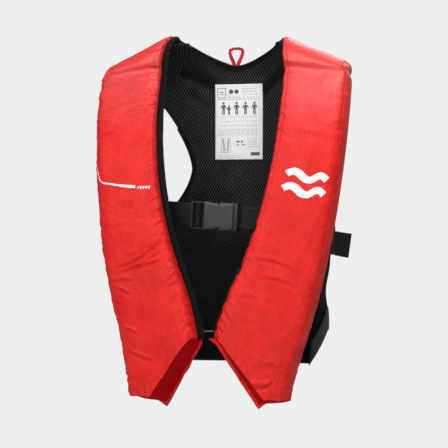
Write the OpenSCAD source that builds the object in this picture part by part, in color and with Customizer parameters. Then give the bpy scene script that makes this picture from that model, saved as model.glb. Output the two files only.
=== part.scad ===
// Foam-filled life jacket: two front lobes hang from a mesh back panel, with shoulder pads,
// side wings, a buckled waist belt, a hem band and a hanging loop.
// Millimetres. +X is the viewer's right, -Y the front of the jacket, +Z up.
// The origin is midway between the two shoulder crests, where the jacket hangs.

/* [Lobes] */
// Distance between the two lobes at chest height
neck_gap = 200; // [196:1:204]
// Width over both lobes at their widest
lobe_span = 402; // [398:1:406]
// Height of the lobes' inner lower corners below the shoulder crest
corner_drop = 477; // [470:1:482]
// Height of the lobes' lowest tips below the shoulder crest
tip_drop = 580; // [574:1:584]
// Thickness of a foam-filled lobe without its liner
lobe_t = 50; // [49:0.5:51]
// Thickness of the mesh liner behind a lobe
liner_t = 5.5; // [5:0.5:6]
// Thickness of the outer fabric
cover_t = 1.2; // [1:0.1:1.4]

/* [Back] */
// Half width of the back panel between the armholes
back_narrow = 76; // [72:1:80]
// Depth of the neck opening below the shoulder crest
neck_drop = 42; // [40:1:46]
// Thickness of the mesh back panel
mesh_t = 5; // [4.5:0.25:5.5]
// Depth of the hem below the shoulder crest
hem_drop = 522; // [520:1:526]
// Height of the ribbed hem band
hem_h = 48; // [44:1:49]

/* [Belt] */
// Width of the belt webbing
webbing_w = 38; // [36:1:38]
// Thickness of the belt webbing
webbing_t = 1.6; // [1.4:0.1:1.8]
// Height of the belt's middle below the shoulder crest
belt_drop = 285; // [283:1:287]
// Slope of the belt across the front, in degrees
belt_slope = 3.5; // [3:0.5:4]
// Height of the buckle
buckle_h = 43; // [42:0.5:44]

/* [Label and loop] */
// Width of the care label
label_w = 80; // [70:1:84]
// Height of the care label
label_h = 124; // [110:1:126]
// Width of the hanging loop
loop_w = 28; // [26:1:30]
// Height of the hanging loop
loop_h = 32; // [30:1:34]

/* [Hidden] */
$fn = 48;

// ---------------------------------------------------------------- general shapes

// Clearance between pieces that lie against each other
gap = 0.5;

function mix(a, b, f) = a + (b - a) * f;
function flatten(grid) = [for (row = grid) for (p = row) p];

// A closed sheet between two point grids of equal size: `outer` is its outside face
// and `inner` its inside face. Rows run downwards, columns to the viewer's right.
module sheet_between(outer, inner) {
  rows = len(outer);
  cols = len(outer[0]);
  count = rows * cols;
  outside = [for (i = [0 : rows - 2]) for (j = [0 : cols - 2])
    let (a = i * cols + j, b = a + 1, c = a + cols, d = c + 1)
      each [[a, b, d], [a, d, c]]];
  inside = [for (f = outside) [f[2] + count, f[1] + count, f[0] + count]];
  upper = [for (j = [0 : cols - 2]) each [[j, j + count, j + 1], [j + 1, j + count, j + 1 + count]]];
  last = (rows - 1) * cols;
  lower = [for (f = upper) [f[2] + last, f[1] + last, f[0] + last]];
  left = [for (i = [0 : rows - 2])
    let (a = i * cols, c = a + cols)
      each [[a, c, a + count], [c, c + count, a + count]]];
  right = [for (f = left) [f[2] + cols - 1, f[1] + cols - 1, f[0] + cols - 1]];
  polyhedron(points = concat(flatten(outer), flatten(inner)),
    faces = concat(outside, inside, upper, lower, left, right), convexity = 8);
}

// A round cord along a route, as one closed solid
module cord_along(route, radius, sides = 8) {
  last = len(route) - 1;
  ring = function(i)
    let (
      way = route[min(i + 1, last)] - route[max(i - 1, 0)],
      along = way / norm(way),
      side = cross(along, [0, 0, 1]),
      across = side / norm(side),
      up = cross(across, along)
    )
    [for (k = [0 : sides - 1])
      let (angle = 360 * k / sides)
        route[i] + radius * (cos(angle) * across + sin(angle) * up)];
  points = [for (i = [0 : last]) each ring(i)];
  walls = [for (i = [0 : last - 1]) for (k = [0 : sides - 1])
    let (a = i * sides + k, b = i * sides + (k + 1) % sides)
      each [[a, b, a + sides], [b, b + sides, a + sides]]];
  first_cap = [for (k = [1 : sides - 2]) [0, k + 1, k]];
  last_cap = [for (k = [1 : sides - 2]) [last * sides, last * sides + k, last * sides + k + 1]];
  polyhedron(points = points, faces = concat(walls, first_cap, last_cap), convexity = 4);
}

// Webbing seen from above: a band of even thickness along a route in plan
module webbing(route, width, thickness) {
  last = len(route) - 1;
  normal = function(i)
    let (way = route[min(i + 1, last)] - route[max(i - 1, 0)])
      [-way.y, way.x] / norm(way);
  near = [for (i = [0 : last]) route[i] + normal(i) * thickness / 2];
  far = [for (i = [last : -1 : 0]) route[i] - normal(i) * thickness / 2];
  linear_extrude(height = width, center = true) polygon(concat(near, far));
}

// ---------------------------------------------------------------- the lobes' form

// Outline of the right lobe: its edges curve inwards towards the lower end
edge_x_out = lobe_span / 2;
edge_x_in = neck_gap / 2;
corner_x = 8;
outer_corner = [125, -560];
tip = [71, -tip_drop];
inner_corner = [corner_x, -corner_drop];

function inner_edge_x(z) =
  edge_x_in - (edge_x_in - corner_x) * pow(max(0, (-90 - z) / (corner_drop - 90)), 1.95);
function outer_edge_x(z) =
  edge_x_out - (edge_x_out - outer_corner.x) * pow(max(0, (-80 - z) / (-80 - outer_corner.y)), 1.8);

// Middle surface of the lobes along their inner edge: it rounds the shoulder, then
// leans slowly forwards over the chest
function middle_y(z) = -(75 * (1 - exp(z / 100)) - 0.17 * z);

// A lobe turns back round the chest from its inner to its outer edge
function wrap_slope(z) = 0.1 - 0.00035 * z;

// A lobe is thin at the shoulder crest and reaches its full thickness on the chest
lobe_full = lobe_t + liner_t;
function thickness_at(z) = lobe_full * (0.35 + 0.65 * (1 - exp(min(0, z) / 60)));

// Half the clearance between a shoulder pad and its lobe
cut_gap = 1.2;

// Y of a layer of the right lobe, `depth` back from the front of a full-thickness lobe
function lobe_y(x, z, depth) =
  middle_y(z) + wrap_slope(z) * (x - inner_edge_x(z)) + (depth / lobe_full - 0.5) * thickness_at(z);

// The lobes swing on a line from the shoulder to the side seam
swing_top = [175, -16, -68];
swing_low = [140, -96, -510];
swing_axis = (swing_low - swing_top) / norm(swing_low - swing_top);

// Height of the cut between shoulder pad and lobe, square to the swing line
function cut_z(x, y) =
  swing_top.z - (swing_axis.x * (x - swing_top.x) + swing_axis.y * (y - swing_top.y)) / swing_axis.z;

// Lower edge of a lobe, `across` from 0 (inner corner) to 1 (outer corner). The front
// face ends higher than the back seam, so the end closes as a wedge.
tip_share = 0.55;
function lower_edge(across, depth) =
  let (
    rise = 1 - min(1, depth / lobe_t),
    inner = inner_corner + rise * [8, 12],
    middle = tip + rise * [17, 13],
    outer = outer_corner + rise * [3, 8]
  )
  across < tip_share
    ? mix(inner, middle, across / tip_share)
    : mix(middle, outer, (across - tip_share) / (1 - tip_share));

// A point of the right lobe. `across` runs from the inner to the outer edge, `down`
// from the shoulder cut to the lower end, and `depth` back from the front face.
// `raise` lifts the lower end, to leave room for the gusset.
function lobe_point(across, down, depth, raise = 0) =
  let (
    top_in = cut_z(edge_x_in, lobe_y(edge_x_in, swing_top.z, depth)) - cut_gap,
    top_out = cut_z(edge_x_out, lobe_y(edge_x_out, swing_top.z, depth)) - cut_gap,
    low_in = lower_edge(0, depth),
    low_out = lower_edge(1, depth),
    low_here = lower_edge(across, depth),
    z_in = mix(top_in, low_in.y, down),
    z_out = mix(top_out, low_out.y, down),
    side_in = [mix(inner_edge_x(z_in), low_in.x, pow(down, 8)), z_in],
    side_out = [mix(outer_edge_x(z_out), low_out.x, pow(down, 8)), z_out],
    top_start = [inner_edge_x(top_in), top_in],
    top_end = [outer_edge_x(top_out), top_out],
    top_here = mix(top_start, top_end, across),
    flat = mix(side_in, side_out, across) + mix(top_here, low_here, down)
      - mix(mix(top_start, top_end, across), mix(low_in, low_out, across), down)
  )
  [flat.x, lobe_y(flat.x, flat.y, depth), flat.y + raise * down];

// Width of the right lobe at a share of its length
function lobe_width(down) = lobe_point(1, down, lobe_t).x - lobe_point(0, down, lobe_t).x;

lobe_rows = 16;
wedge_room = 2.4;

// One layer of a lobe between two depths, `edge_a` and `edge_b` inside its side faces
module lobe_layer(depth_a, depth_b, edge_a, edge_b, cols = 8) {
  face = function(depth, edge) [for (i = [0 : lobe_rows]) [for (j = [0 : cols])
    let (down = i / lobe_rows, inset = edge / lobe_width(down))
      lobe_point(mix(inset, 1 - inset, j / cols), down, depth, wedge_room)]];
  sheet_between(face(depth_a, edge_a), face(depth_b, edge_b));
}

// The cover runs round three sides of the foam, as half of a rounded box
box_power = 6;
cover_cols = 18;
function box_share(angle) = sign(sin(angle)) * pow(abs(sin(angle)), 2 / box_power);
function box_depth(angle) = pow(max(0, cos(angle)), 2 / box_power);

module lobe_cover_shape() {
  face = function(inset) [for (i = [0 : lobe_rows]) [for (j = [0 : cover_cols])
    let (
      down = i / lobe_rows,
      angle = mix(-90, 90, j / cover_cols),
      narrow = 1 - 2 * inset / lobe_width(down),
      across = 0.5 + 0.5 * narrow * box_share(angle),
      depth = lobe_t - (lobe_t - inset) * box_depth(angle)
    )
    lobe_point(across, down, depth, wedge_room)]];
  sheet_between(face(0), face(cover_t));
}

module lobe_gusset_shape() {
  cols = 20;
  rows = 3;
  face = function(raise) [for (i = [0 : rows]) [for (j = [0 : cols])
    lobe_point(j / cols, 1, lobe_t * (1 - i / rows), raise)]];
  sheet_between(face(cover_t + gap), face(0));
}

module lobe_liner_shape() {
  lip = 3.5;
  lobe_layer(lobe_t + gap, lobe_t + liner_t, -lip, -lip);
}

foam_t = (lobe_t - cover_t - 5 * gap) / 3;
foam_start = cover_t + 2 * gap;
module foam_layer(index, edge_a, edge_b) {
  start = foam_start + index * (foam_t + gap);
  lobe_layer(start, start + foam_t, edge_a, edge_b);
}

// Prints lie a hair in front of the cover, between four [across, down] corners
print_t = 0.4;
function cover_depth(across) = lobe_t * (1 - pow(1 - pow(abs(2 * across - 1), box_power), 1 / box_power));
module lobe_print(corners) {
  rows = 3;
  cols = 10;
  face = function(lift) [for (i = [0 : rows]) [for (j = [0 : cols])
    let (
      start = mix(corners[0], corners[2], i / rows),
      end = mix(corners[1], corners[3], i / rows),
      spot = mix(start, end, j / cols)
    )
    lobe_point(spot.x, spot.y, cover_depth(spot.x) - lift, wedge_room)]];
  sheet_between(face(gap + print_t), face(gap));
}

// ---------------------------------------------------------------- the back's form

// The crest of the shoulder slopes down towards the arm
pad_t = 10;
function crest_z(x) = abs(x) > 90 ? -3 - 0.43 * (abs(x) - 90) : -3 + 0.2 * (90 - abs(x));

body_half = 164;
body_deep = 75;
body_shift = -12;
crest_h = 90;

// Half width of the torso form: it opens out above the armholes
function torso_half(z) = z > -120 ? 300 : z < -280 ? body_half : mix(300, body_half, (-120 - z) / 160);

// Back surface of the torso form at a place in the front view
function torso_y(x, z) =
  let (
    half = torso_half(z),
    round_off = pow(max(0.001, 1 - pow(min(1, abs(x) / half), 2.5)), 0.4),
    waist = z < -250 ? 0.04 * (-250 - z) : 0,
    below_crest = max(0, crest_z(x) - pad_t - z),
    turn = below_crest < crest_h ? sqrt(1 - pow(1 - below_crest / crest_h, 2)) : 1
  )
  turn * (body_shift + (body_deep - waist) * round_off);

// Half width of the back panel, narrowest between the armholes
narrow_z = -205;
side_seam_x = 120;
side_top_z = -286;
function back_half(z) =
  z > narrow_z
    ? back_narrow + 114 * pow((z - narrow_z) / 173, 1.55)
    : min(side_seam_x, back_narrow + (side_seam_x - back_narrow)
        * pow((narrow_z - z) / (narrow_z - side_top_z), 1.6));

// Upper edge of the back panel: the neck curve, then the shoulder crest
function neck_z(x) = -neck_drop + (neck_drop - 14) * pow(min(1, abs(x) / 88), 1.5);
panel_start = 6;
function back_top_z(x) = abs(x) < 88 ? neck_z(x) : crest_z(x) - pad_t - panel_start;

// A point of the back panel. `across` runs from -1 to 1 and `down` from 0 to 1.
panel_low = -hem_drop + hem_h + gap;
function back_point(across, down, lift = 0) =
  let (
    top_z = back_top_z(across * 186),
    z = mix(top_z, panel_low, pow(down, 1.6)),
    x = across * back_half(z)
  )
  [x, torso_y(x, z) + lift, z];

module back_panel_shape() {
  rows = 26;
  cols = 28;
  face = function(lift) [for (i = [0 : rows]) [for (j = [0 : cols])
    back_point(mix(-1, 1, j / cols), i / rows, lift)]];
  sheet_between(face(0), face(mesh_t));
}

// A tape along a line on the back panel's outer side
tape_t = 1;
module back_tape(line) {
  face = function(lift) [for (side = [0 : 1]) [for (p = line)
    back_point(p[side].x, p[side].y, mesh_t + lift)]];
  sheet_between(face(2 * gap), face(2 * gap + tape_t));
}

// ---------------------------------------------------------------- back nodes

module back_panel() {
  color("dimgray") back_panel_shape();
}

module neck_binding() {
  tape = [for (j = [0 : 16]) let (u = mix(-0.4, 0.4, j / 16)) [[u, 0.005], [u, 0.09]]];
  color("black") back_tape(tape);
}

module armhole_binding() {
  tape = [for (j = [0 : 14]) let (down = mix(0.46, 0.7, j / 14)) [[0.9, down], [0.995, down]]];
  color("black") back_tape(tape);
}
module armhole_binding_right() {
  armhole_binding();
}
module armhole_binding_left() {
  mirror([1, 0, 0]) armhole_binding();
}

// The swing line at a height, and the wing's front edge just behind it
function swing_at(z) = mix(swing_top, swing_low, (z - swing_top.z) / (swing_low.z - swing_top.z));
wing_clear = 12;

// A point outside the torso form at the waist. `along` runs from 0 at the back seam,
// through 0.5 at the side, to 1 at the wing's front edge.
function waist_point(along, z, lift) =
  let (
    half = body_half - 0.05 * (-300 - z) + lift,
    deep = body_deep - 0.04 * (-250 - z) + lift,
    seam_angle = asin(pow(side_seam_x / body_half, 1.25)) + 3,
    angle = mix(seam_angle, 90, min(1, 2 * along)),
    back = [half * pow(sin(angle), 0.8), body_shift + deep * pow(cos(angle), 0.8)],
    front = [swing_at(z).x + lift, swing_at(z).y + wing_clear],
    turn = [half, mix(body_shift, front.y, 0.5)],
    share = max(0, 2 * along - 1),
    bend = mix(mix([half, body_shift], turn, share), mix(turn, front, share), share),
    spot = along < 0.5 ? back : bend
  )
  [spot.x, spot.y, z];

wing_t = 4;
wing_top_back = -288;
wing_top_side = -297;
wing_top_front = -268;
wing_low_front = -510;
module side_wing() {
  rows = 8;
  cols = 16;
  face = function(lift) [for (i = [0 : rows]) [for (j = [0 : cols])
    let (
      along = j / cols,
      z_top = along < 0.5
        ? mix(wing_top_back, wing_top_side, 2 * along)
        : mix(wing_top_side, wing_top_front, 2 * along - 1),
      z_low = mix(-hem_drop + hem_h, wing_low_front, along)
    )
    waist_point(along, mix(z_top, z_low, i / rows), lift)]];
  color("darkslategray") sheet_between(face(0), face(wing_t));
}
module side_wing_right() {
  side_wing();
}
module side_wing_left() {
  mirror([1, 0, 0]) side_wing();
}

module hem_band() {
  cols = 20;
  band_t = 3.5;
  face = function(lift) [for (i = [0 : 2]) [for (j = [0 : cols])
    let (x = mix(-side_seam_x + 2, side_seam_x - 2, j / cols), z = mix(-hem_drop + hem_h, -hem_drop, i / 2))
      [x, torso_y(x, z) + 0.5 + lift, z]]];
  color("black") sheet_between(face(0), face(band_t));
}

module hem_cord() {
  cord_r = 0.9;
  z = -hem_drop + hem_h;
  route = [for (j = [0 : 30]) let (x = mix(-100, 100, j / 30)) [x, torso_y(x, z) - cord_r - 0.4, z]];
  color("lightgray") cord_along(route, cord_r);
}

label_top = -67;
module label() {
  label_t = 0.5;
  face = function(lift) [for (i = [0 : 6]) [for (j = [0 : 6])
    let (x = 2 + mix(-label_w / 2, label_w / 2, j / 6), z = label_top - label_h * i / 6)
      [x, torso_y(x, z) - 0.5 - lift, z]]];
  color("white") sheet_between(face(label_t), face(0));
}

// ---------------------------------------------------------------- shoulders

// The shoulder pad arches from the lobe cut over the crest and down the back. `across`
// runs from the neck to the arm, and `over` from 0 at the cut to 1 at the back.
pad_back_z = -104;
front_share = 0.4;
panel_room = mesh_t + 2 * gap;
function pad_face(across, over, outer) =
  let (
    widen = 1 - min(1, over / front_share),
    x = mix(edge_x_in - 9, edge_x_out - 4, across) + widen * mix(9, 0, across),
    crest = crest_z(x) - (outer ? 0 : pad_t),
    y_cut = lobe_y(x, swing_top.z, outer ? 0 : lobe_full),
    z_cut = cut_z(x, y_cut) + cut_gap,
    front_turn = 90 * (1 - over / front_share),
    back_turn = 90 * (over - front_share) / (1 - front_share),
    z_back = mix(crest, pad_back_z, 1 - cos(back_turn)),
    y_outer = (torso_y(x, pad_back_z) + panel_room + pad_t) * sin(back_turn),
    y_inner = torso_y(x, z_back) + panel_room * min(1, (crest - z_back) / panel_start)
  )
  over < front_share
    ? [x, y_cut * sin(front_turn), mix(z_cut, crest, cos(front_turn))]
    : [x, outer ? y_outer : y_inner, z_back];

// A point inside the pad's thickness, a distance in from its outer or its inner face
function pad_point(across, over, from_outer, from_inner) =
  let (
    outer = pad_face(across, over, true),
    inner = pad_face(across, over, false),
    way = (inner - outer) / norm(inner - outer)
  )
  from_inner > 0 ? inner - way * from_inner : outer + way * from_outer;

module shoulder_cover() {
  rows = 18;
  cols = 6;
  face = function(lift) [for (i = [0 : rows]) [for (j = [0 : cols])
    pad_point(j / cols, 1 - i / rows, lift, 0)]];
  color("red") sheet_between(face(0), face(cover_t));
}
module shoulder_foam() {
  rows = 18;
  cols = 6;
  face = function(outer, inner) [for (i = [0 : rows]) [for (j = [0 : cols])
    pad_point(mix(0.03, 0.97, j / cols), mix(0.98, 0.02, i / rows), outer, inner)]];
  color("khaki") sheet_between(face(cover_t + gap, 0), face(0, gap));
}
module shoulder_cover_right() {
  shoulder_cover();
}
module shoulder_cover_left() {
  mirror([1, 0, 0]) shoulder_cover();
}
module shoulder_foam_right() {
  shoulder_foam();
}
module shoulder_foam_left() {
  mirror([1, 0, 0]) shoulder_foam();
}

// ---------------------------------------------------------------- lobe nodes

module lobe_cover_right() {
  color("red") lobe_cover_shape();
}
module lobe_cover_left() {
  mirror([1, 0, 0]) lobe_cover_right();
}
module lobe_gusset_right() {
  color("firebrick") lobe_gusset_shape();
}
module lobe_gusset_left() {
  mirror([1, 0, 0]) lobe_gusset_right();
}
module lobe_liner_right() {
  color("black") lobe_liner_shape();
}
module lobe_liner_left() {
  mirror([1, 0, 0]) lobe_liner_right();
}
module foam_front_right() {
  color("khaki") foam_layer(0, 24, 4);
}
module foam_front_left() {
  mirror([1, 0, 0]) foam_front_right();
}
module foam_middle_right() {
  color("wheat") foam_layer(1, 4, 3);
}
module foam_middle_left() {
  mirror([1, 0, 0]) foam_middle_right();
}
module foam_back_right() {
  color("khaki") foam_layer(2, 3, 3);
}
module foam_back_left() {
  mirror([1, 0, 0]) foam_back_right();
}
module stripe_left() {
  color("white") mirror([1, 0, 0])
    lobe_print([[0.14, 0.422], [0.87, 0.362], [0.14, 0.429], [0.87, 0.369]]);
}
module emblem_right() {
  color("white") lobe_print([[0.24, 0.33], [0.88, 0.33], [0.24, 0.4], [0.88, 0.4]]);
}

// ---------------------------------------------------------------- belt and buckle

belt_y = -67;

// Places a belt piece: the belt slopes about the middle of the buckle
module on_belt() {
  translate([0, belt_y, -belt_drop]) rotate([0, belt_slope, 0]) children();
}

bar_t = 4;
frame_end = 47;
bar_w = 3;
slot_w = 7;
window_r = 9;
socket_t = 11;
socket_x = [-23, 14];

module belt_right() {
  route = [[14.6, 3.4], [60, 3.4], [120, 5], [148, 10]];
  color("black") on_belt() {
    webbing(route, webbing_w, webbing_t);
    translate([14.6, -4.4, -webbing_w / 2]) cube([1.6, 8, webbing_w]);
    translate([14.6, -4.4, -webbing_w / 2]) cube([16, webbing_t, webbing_w]);
  }
}

module belt_left() {
  route = [[-29, 3.2], [-34, -3.2], [-37, -3.2], [-43, 3.2], [-60, 3.4], [-84, 3.4]];
  color("black") on_belt() webbing(route, webbing_w, webbing_t);
}

module belt_side_left() {
  route = [[-56, 5.8], [-110, 6], [-130, 7], [-148, 12]];
  color("black") on_belt() webbing(route, webbing_w, webbing_t);
}

// A plate standing in the belt's plane, seen from the front
module plate(x, height, thickness) {
  translate([x[0], -thickness / 2, -height / 2]) cube([x[1] - x[0], thickness, height]);
}

module buckle_socket() {
  cavity_h = 34;
  color("darkgray") on_belt() difference() {
    union() {
      plate(socket_x, buckle_h, socket_t);
      plate([socket_x[1] - 1, 22], buckle_h, bar_t);
    }
    plate([socket_x[0] - 1, 8], cavity_h, 6);
    plate([14.2, 18.6], webbing_w + 1, bar_t + 2);
    for (side = [-1, 1])
      translate([-8, 0, side * (buckle_h / 2 + 3)]) rotate([90, 0, 0])
        cylinder(h = socket_t + 2, r = window_r, center = true);
  }
}

module buckle_plug() {
  color("gray") on_belt() {
    difference() {
      plate([-frame_end, socket_x[0] - 0.4], buckle_h, bar_t);
      for (start = [-frame_end + bar_w, -frame_end + 2 * bar_w + slot_w])
        plate([start, start + slot_w], webbing_w + 1, bar_t + 2);
    }
    plate([socket_x[0] - 0.5, 4], 7, 5);
  }
}

// A latch arm runs beside the plug's tongue and bears outwards in the socket
arm_t = 5;
arm_root = socket_x[0];
module latch(side) {
  arm_len = 15;
  head_r = 5;
  color("dimgray") on_belt() {
    translate([arm_root + arm_len / 2, 0, side * 12]) cube([arm_len, arm_t, 5], center = true);
    translate([arm_root + arm_len, 0, side * 13.5]) rotate([90, 0, 0])
      cylinder(h = arm_t, r = head_r, center = true);
  }
}
module latch_upper() {
  latch(1);
}
module latch_lower() {
  latch(-1);
}

module belt_keeper() {
  color("black") on_belt() difference() {
    translate([22.6, -6.6, -webbing_w / 2 - 2.4]) cube([6.6, 12.6, webbing_w + 4.8]);
    translate([20, -5.1, -webbing_w / 2 - 0.6]) cube([12, 9.8, webbing_w + 1.2]);
  }
}

// ---------------------------------------------------------------- side adjusters

adjuster_at = [171, -22, -322];
adjuster_t = 3.5;
adjuster_size = [26, 46];
module side_adjuster() {
  slot = [6, webbing_w + 1];
  color("dimgray") translate(adjuster_at) difference() {
    cube([adjuster_t, adjuster_size.x, adjuster_size.y], center = true);
    for (side = [-1, 1])
      translate([0, side * 6, 0]) cube([adjuster_t + 2, slot.x, slot.y], center = true);
  }
}
module side_adjuster_right() {
  side_adjuster();
}
module side_adjuster_left() {
  mirror([1, 0, 0]) side_adjuster();
}

tail_len = 26;
module tail() {
  color("black") translate([adjuster_at.x + adjuster_t / 2 + 1.6, adjuster_at.y, adjuster_at.z])
    rotate([0, 0, 24]) translate([0.5, -1.7, -webbing_w / 2]) cube([tail_len, 3.4, webbing_w]);
}
module tail_right() {
  tail();
}
module tail_left() {
  mirror([1, 0, 0]) tail();
}

// The lower strap runs outside the wing, from the hem to the lobe's lower edge
module lower_strap() {
  cols = 14;
  strap_h = 38;
  face = function(lift) [for (i = [0 : 2]) [for (j = [0 : cols])
    let (along = mix(0.12, 0.97, j / cols), z = mix(-428, -472, j / cols) - strap_h * i / 2)
      waist_point(along, z, lift)]];
  color("black") sheet_between(face(wing_t + 0.6), face(wing_t + 0.6 + webbing_t));
}
module lower_strap_right() {
  lower_strap();
}
module lower_strap_left() {
  mirror([1, 0, 0]) lower_strap();
}

// ---------------------------------------------------------------- hanging loop

module hang_loop() {
  ribbon = 6;
  ribbon_t = 1.4;
  base = back_point(0, 0);
  wide = loop_w / 2;
  top = loop_w * 0.4;
  outside = [
    [-5, 0], [5, 0], [wide, loop_h * 0.6], [top, loop_h], [-top, loop_h], [-wide, loop_h * 0.6]
  ];
  eye_wide = wide - ribbon;
  eye_top = top - ribbon * 0.8;
  eye = [
    [0, ribbon * 1.6], [eye_wide, loop_h * 0.62], [eye_top, loop_h - ribbon],
    [-eye_top, loop_h - ribbon], [-eye_wide, loop_h * 0.62]
  ];
  color("red") translate([0, base.y + mesh_t / 2 + ribbon_t / 2, base.z + 4 * gap]) rotate([90, 0, 0])
    linear_extrude(height = ribbon_t) difference() {
      polygon(outside);
      polygon(eye);
    }
}

// ---------------------------------------------------------------- what is drawn

back_panel();
neck_binding();
armhole_binding_left();
armhole_binding_right();
side_wing_left();
side_wing_right();
hem_band();
hem_cord();
label();
shoulder_cover_left();
shoulder_cover_right();
shoulder_foam_left();
shoulder_foam_right();
lower_strap_left();
lower_strap_right();
belt_right();
belt_side_left();
buckle_socket();
side_adjuster_left();
side_adjuster_right();
lobe_cover_left();
lobe_gusset_left();
lobe_liner_left();
foam_front_left();
foam_middle_left();
foam_back_left();
stripe_left();
lobe_cover_right();
lobe_gusset_right();
lobe_liner_right();
foam_front_right();
foam_middle_right();
foam_back_right();
emblem_right();
buckle_plug();
belt_left();
latch_upper();
latch_lower();
belt_keeper();
tail_left();
tail_right();
hang_loop();
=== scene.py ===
"""Looks for the foam-filled life jacket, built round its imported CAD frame.

+X is the viewer's right, -Y the front of the jacket, +Z up. Shape functions work in
millimetres, and meshes are stored in metres. Each side is worked out as the right one
and mirrored for the left.
"""

import math

import bpy
import numpy as np
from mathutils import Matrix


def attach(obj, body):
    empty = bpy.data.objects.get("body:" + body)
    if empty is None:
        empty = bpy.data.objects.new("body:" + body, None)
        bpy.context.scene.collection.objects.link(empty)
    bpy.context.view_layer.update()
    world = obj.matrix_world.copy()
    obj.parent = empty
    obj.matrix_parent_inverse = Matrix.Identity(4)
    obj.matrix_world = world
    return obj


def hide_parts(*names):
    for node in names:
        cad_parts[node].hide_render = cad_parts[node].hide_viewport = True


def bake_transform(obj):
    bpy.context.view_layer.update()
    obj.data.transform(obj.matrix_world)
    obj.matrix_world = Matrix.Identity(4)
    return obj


MM = 0.001
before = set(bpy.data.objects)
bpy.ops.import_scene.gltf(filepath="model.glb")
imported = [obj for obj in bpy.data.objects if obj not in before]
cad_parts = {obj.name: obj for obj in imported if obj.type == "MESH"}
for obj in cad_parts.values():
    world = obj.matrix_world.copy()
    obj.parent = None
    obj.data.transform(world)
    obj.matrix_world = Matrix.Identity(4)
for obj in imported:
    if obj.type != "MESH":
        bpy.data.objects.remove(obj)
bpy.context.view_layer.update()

SIDES = {"right": 1, "left": -1}


# ---------------------------------------------------------------- camera and light


def make_camera():
    """The camera looks at the chest from 13 degrees to the viewer's right."""
    yaw = math.radians(13)
    distance = 2.3
    aim = (0.0, -0.040, -0.297)
    data = bpy.data.cameras.new("camera")
    data.sensor_width = 36
    data.lens = 117
    camera = bpy.data.objects.new("camera", data)
    camera.location = (
        aim[0] + distance * math.sin(yaw),
        aim[1] - distance * math.cos(yaw),
        aim[2],
    )
    camera.rotation_euler = (math.radians(90), 0, yaw)
    bpy.context.collection.objects.link(camera)
    bpy.context.scene.camera = camera


def area_light(name, place, aim, size, power):
    data = bpy.data.lights.new(name, "AREA")
    data.shape = "SQUARE"
    data.size = size
    data.energy = power
    light = bpy.data.objects.new(name, data)
    light.location = place
    way = np.subtract(aim, place)
    flat = math.hypot(way[0], way[1])
    light.rotation_euler = (math.atan2(flat, -way[2]), 0, math.atan2(-way[0], way[1]))
    bpy.context.collection.objects.link(light)


CHEST, WAIST, RIGHT_SHOULDER = (0, 0, -0.25), (0, 0, -0.35), (0.16, -0.05, -0.07)

# Each light's place, its aim, its size in metres and its power in watts
LIGHTS = {
    "key": ((-0.95, -2.2, 0.95), CHEST, 0.9, 30),
    "front": ((0.35, -2.5, -0.5), WAIST, 1.2, 10),
    "shoulder": ((0.46, -0.66, 0.72), RIGHT_SHOULDER, 0.3, 7),
    "fill": ((1.9, -1.6, 0.2), CHEST, 1.6, 2.5),
    "back": ((0.3, 2.2, 1.2), CHEST, 1.6, 34),
}


def make_light():
    """Soft white studio lights, and a pale sky."""
    for name, values in LIGHTS.items():
        area_light(name, *values)
    world = bpy.data.worlds.new("studio")
    world.use_nodes = True
    sky = world.node_tree.nodes["Background"]
    sky.inputs["Color"].default_value = (1, 1, 1, 1)
    sky.inputs["Strength"].default_value = 0.3
    bpy.context.scene.world = world
    bpy.context.scene.view_settings.view_transform = "Standard"


# ---------------------------------------------------------------- numbers and meshes


def mix(a, b, share):
    return a + (b - a) * share


def smooth(t):
    t = np.clip(t, 0, 1)
    return t * t * (3 - 2 * t)


def bump(distance, width):
    return np.exp(-np.square(distance / width))


def noise(u, v, seed):
    """Smooth random heights from -1 to 1 over a grid of unit cells."""
    table = np.random.default_rng(seed).uniform(-1, 1, (64, 64))
    i, j = np.floor(u).astype(int), np.floor(v).astype(int)
    fu, fv = smooth(u - i), smooth(v - j)
    low = mix(table[i % 64, j % 64], table[(i + 1) % 64, j % 64], fu)
    top = mix(table[i % 64, (j + 1) % 64], table[(i + 1) % 64, (j + 1) % 64], fu)
    return mix(low, top, fv)


def spread(down, across):
    """Two arrays that step evenly down the rows and across the columns of a grid, each
    given as first value, last value and count."""
    return np.meshgrid(np.linspace(*down), np.linspace(*across), indexing="ij")


def normals_of(grid):
    """Unit normals of a point grid, on the side that faces the viewer when its rows run
    down and its columns run right."""
    across = np.gradient(grid, axis=1)
    down = np.gradient(grid, axis=0)
    normal = np.cross(down, across)
    return normal / np.maximum(np.linalg.norm(normal, axis=-1, keepdims=True), 1e-9)


def lengths_along(grid, axis):
    """Distance run along an axis of a point grid, from its first row or column."""
    step = np.linalg.norm(np.diff(grid, axis=axis), axis=-1)
    run = np.cumsum(step, axis=axis)
    first = np.zeros_like(np.take(run, [0], axis=axis))
    return np.concatenate([first, run], axis=axis)


def run_along(line):
    """Distance run along a line of points, from its first point."""
    return np.concatenate([[0], np.cumsum(np.linalg.norm(np.diff(line, axis=0), axis=1))])


def walk(line, run, distance):
    """Points of a line, or values along it, at distances from its start."""
    return np.stack([np.interp(distance, run, line[:, k]) for k in range(line.shape[1])], axis=-1)


def from_line(x, z, start, end):
    """Share of the way along a line in the front view, and distance off it."""
    way = np.subtract(end, start)
    length = math.hypot(*way)
    way = way / length
    share = ((x - start[0]) * way[0] + (z - start[1]) * way[1]) / length
    return share, -(x - start[0]) * way[1] + (z - start[1]) * way[0]


def fading(share):
    """1 along the middle of a line, and 0 at its ends and past them."""
    return smooth(share * 4) * smooth((1 - share) * 4)


def tube_rings(centre, radius):
    """Round rings square to the X axis, one at each centre."""
    angle = np.linspace(0, 2 * np.pi, 10, endpoint=False)
    circle = np.stack([np.zeros_like(angle), np.cos(angle), np.sin(angle)], axis=-1)
    return centre[:, None, :] + radius * circle


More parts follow.
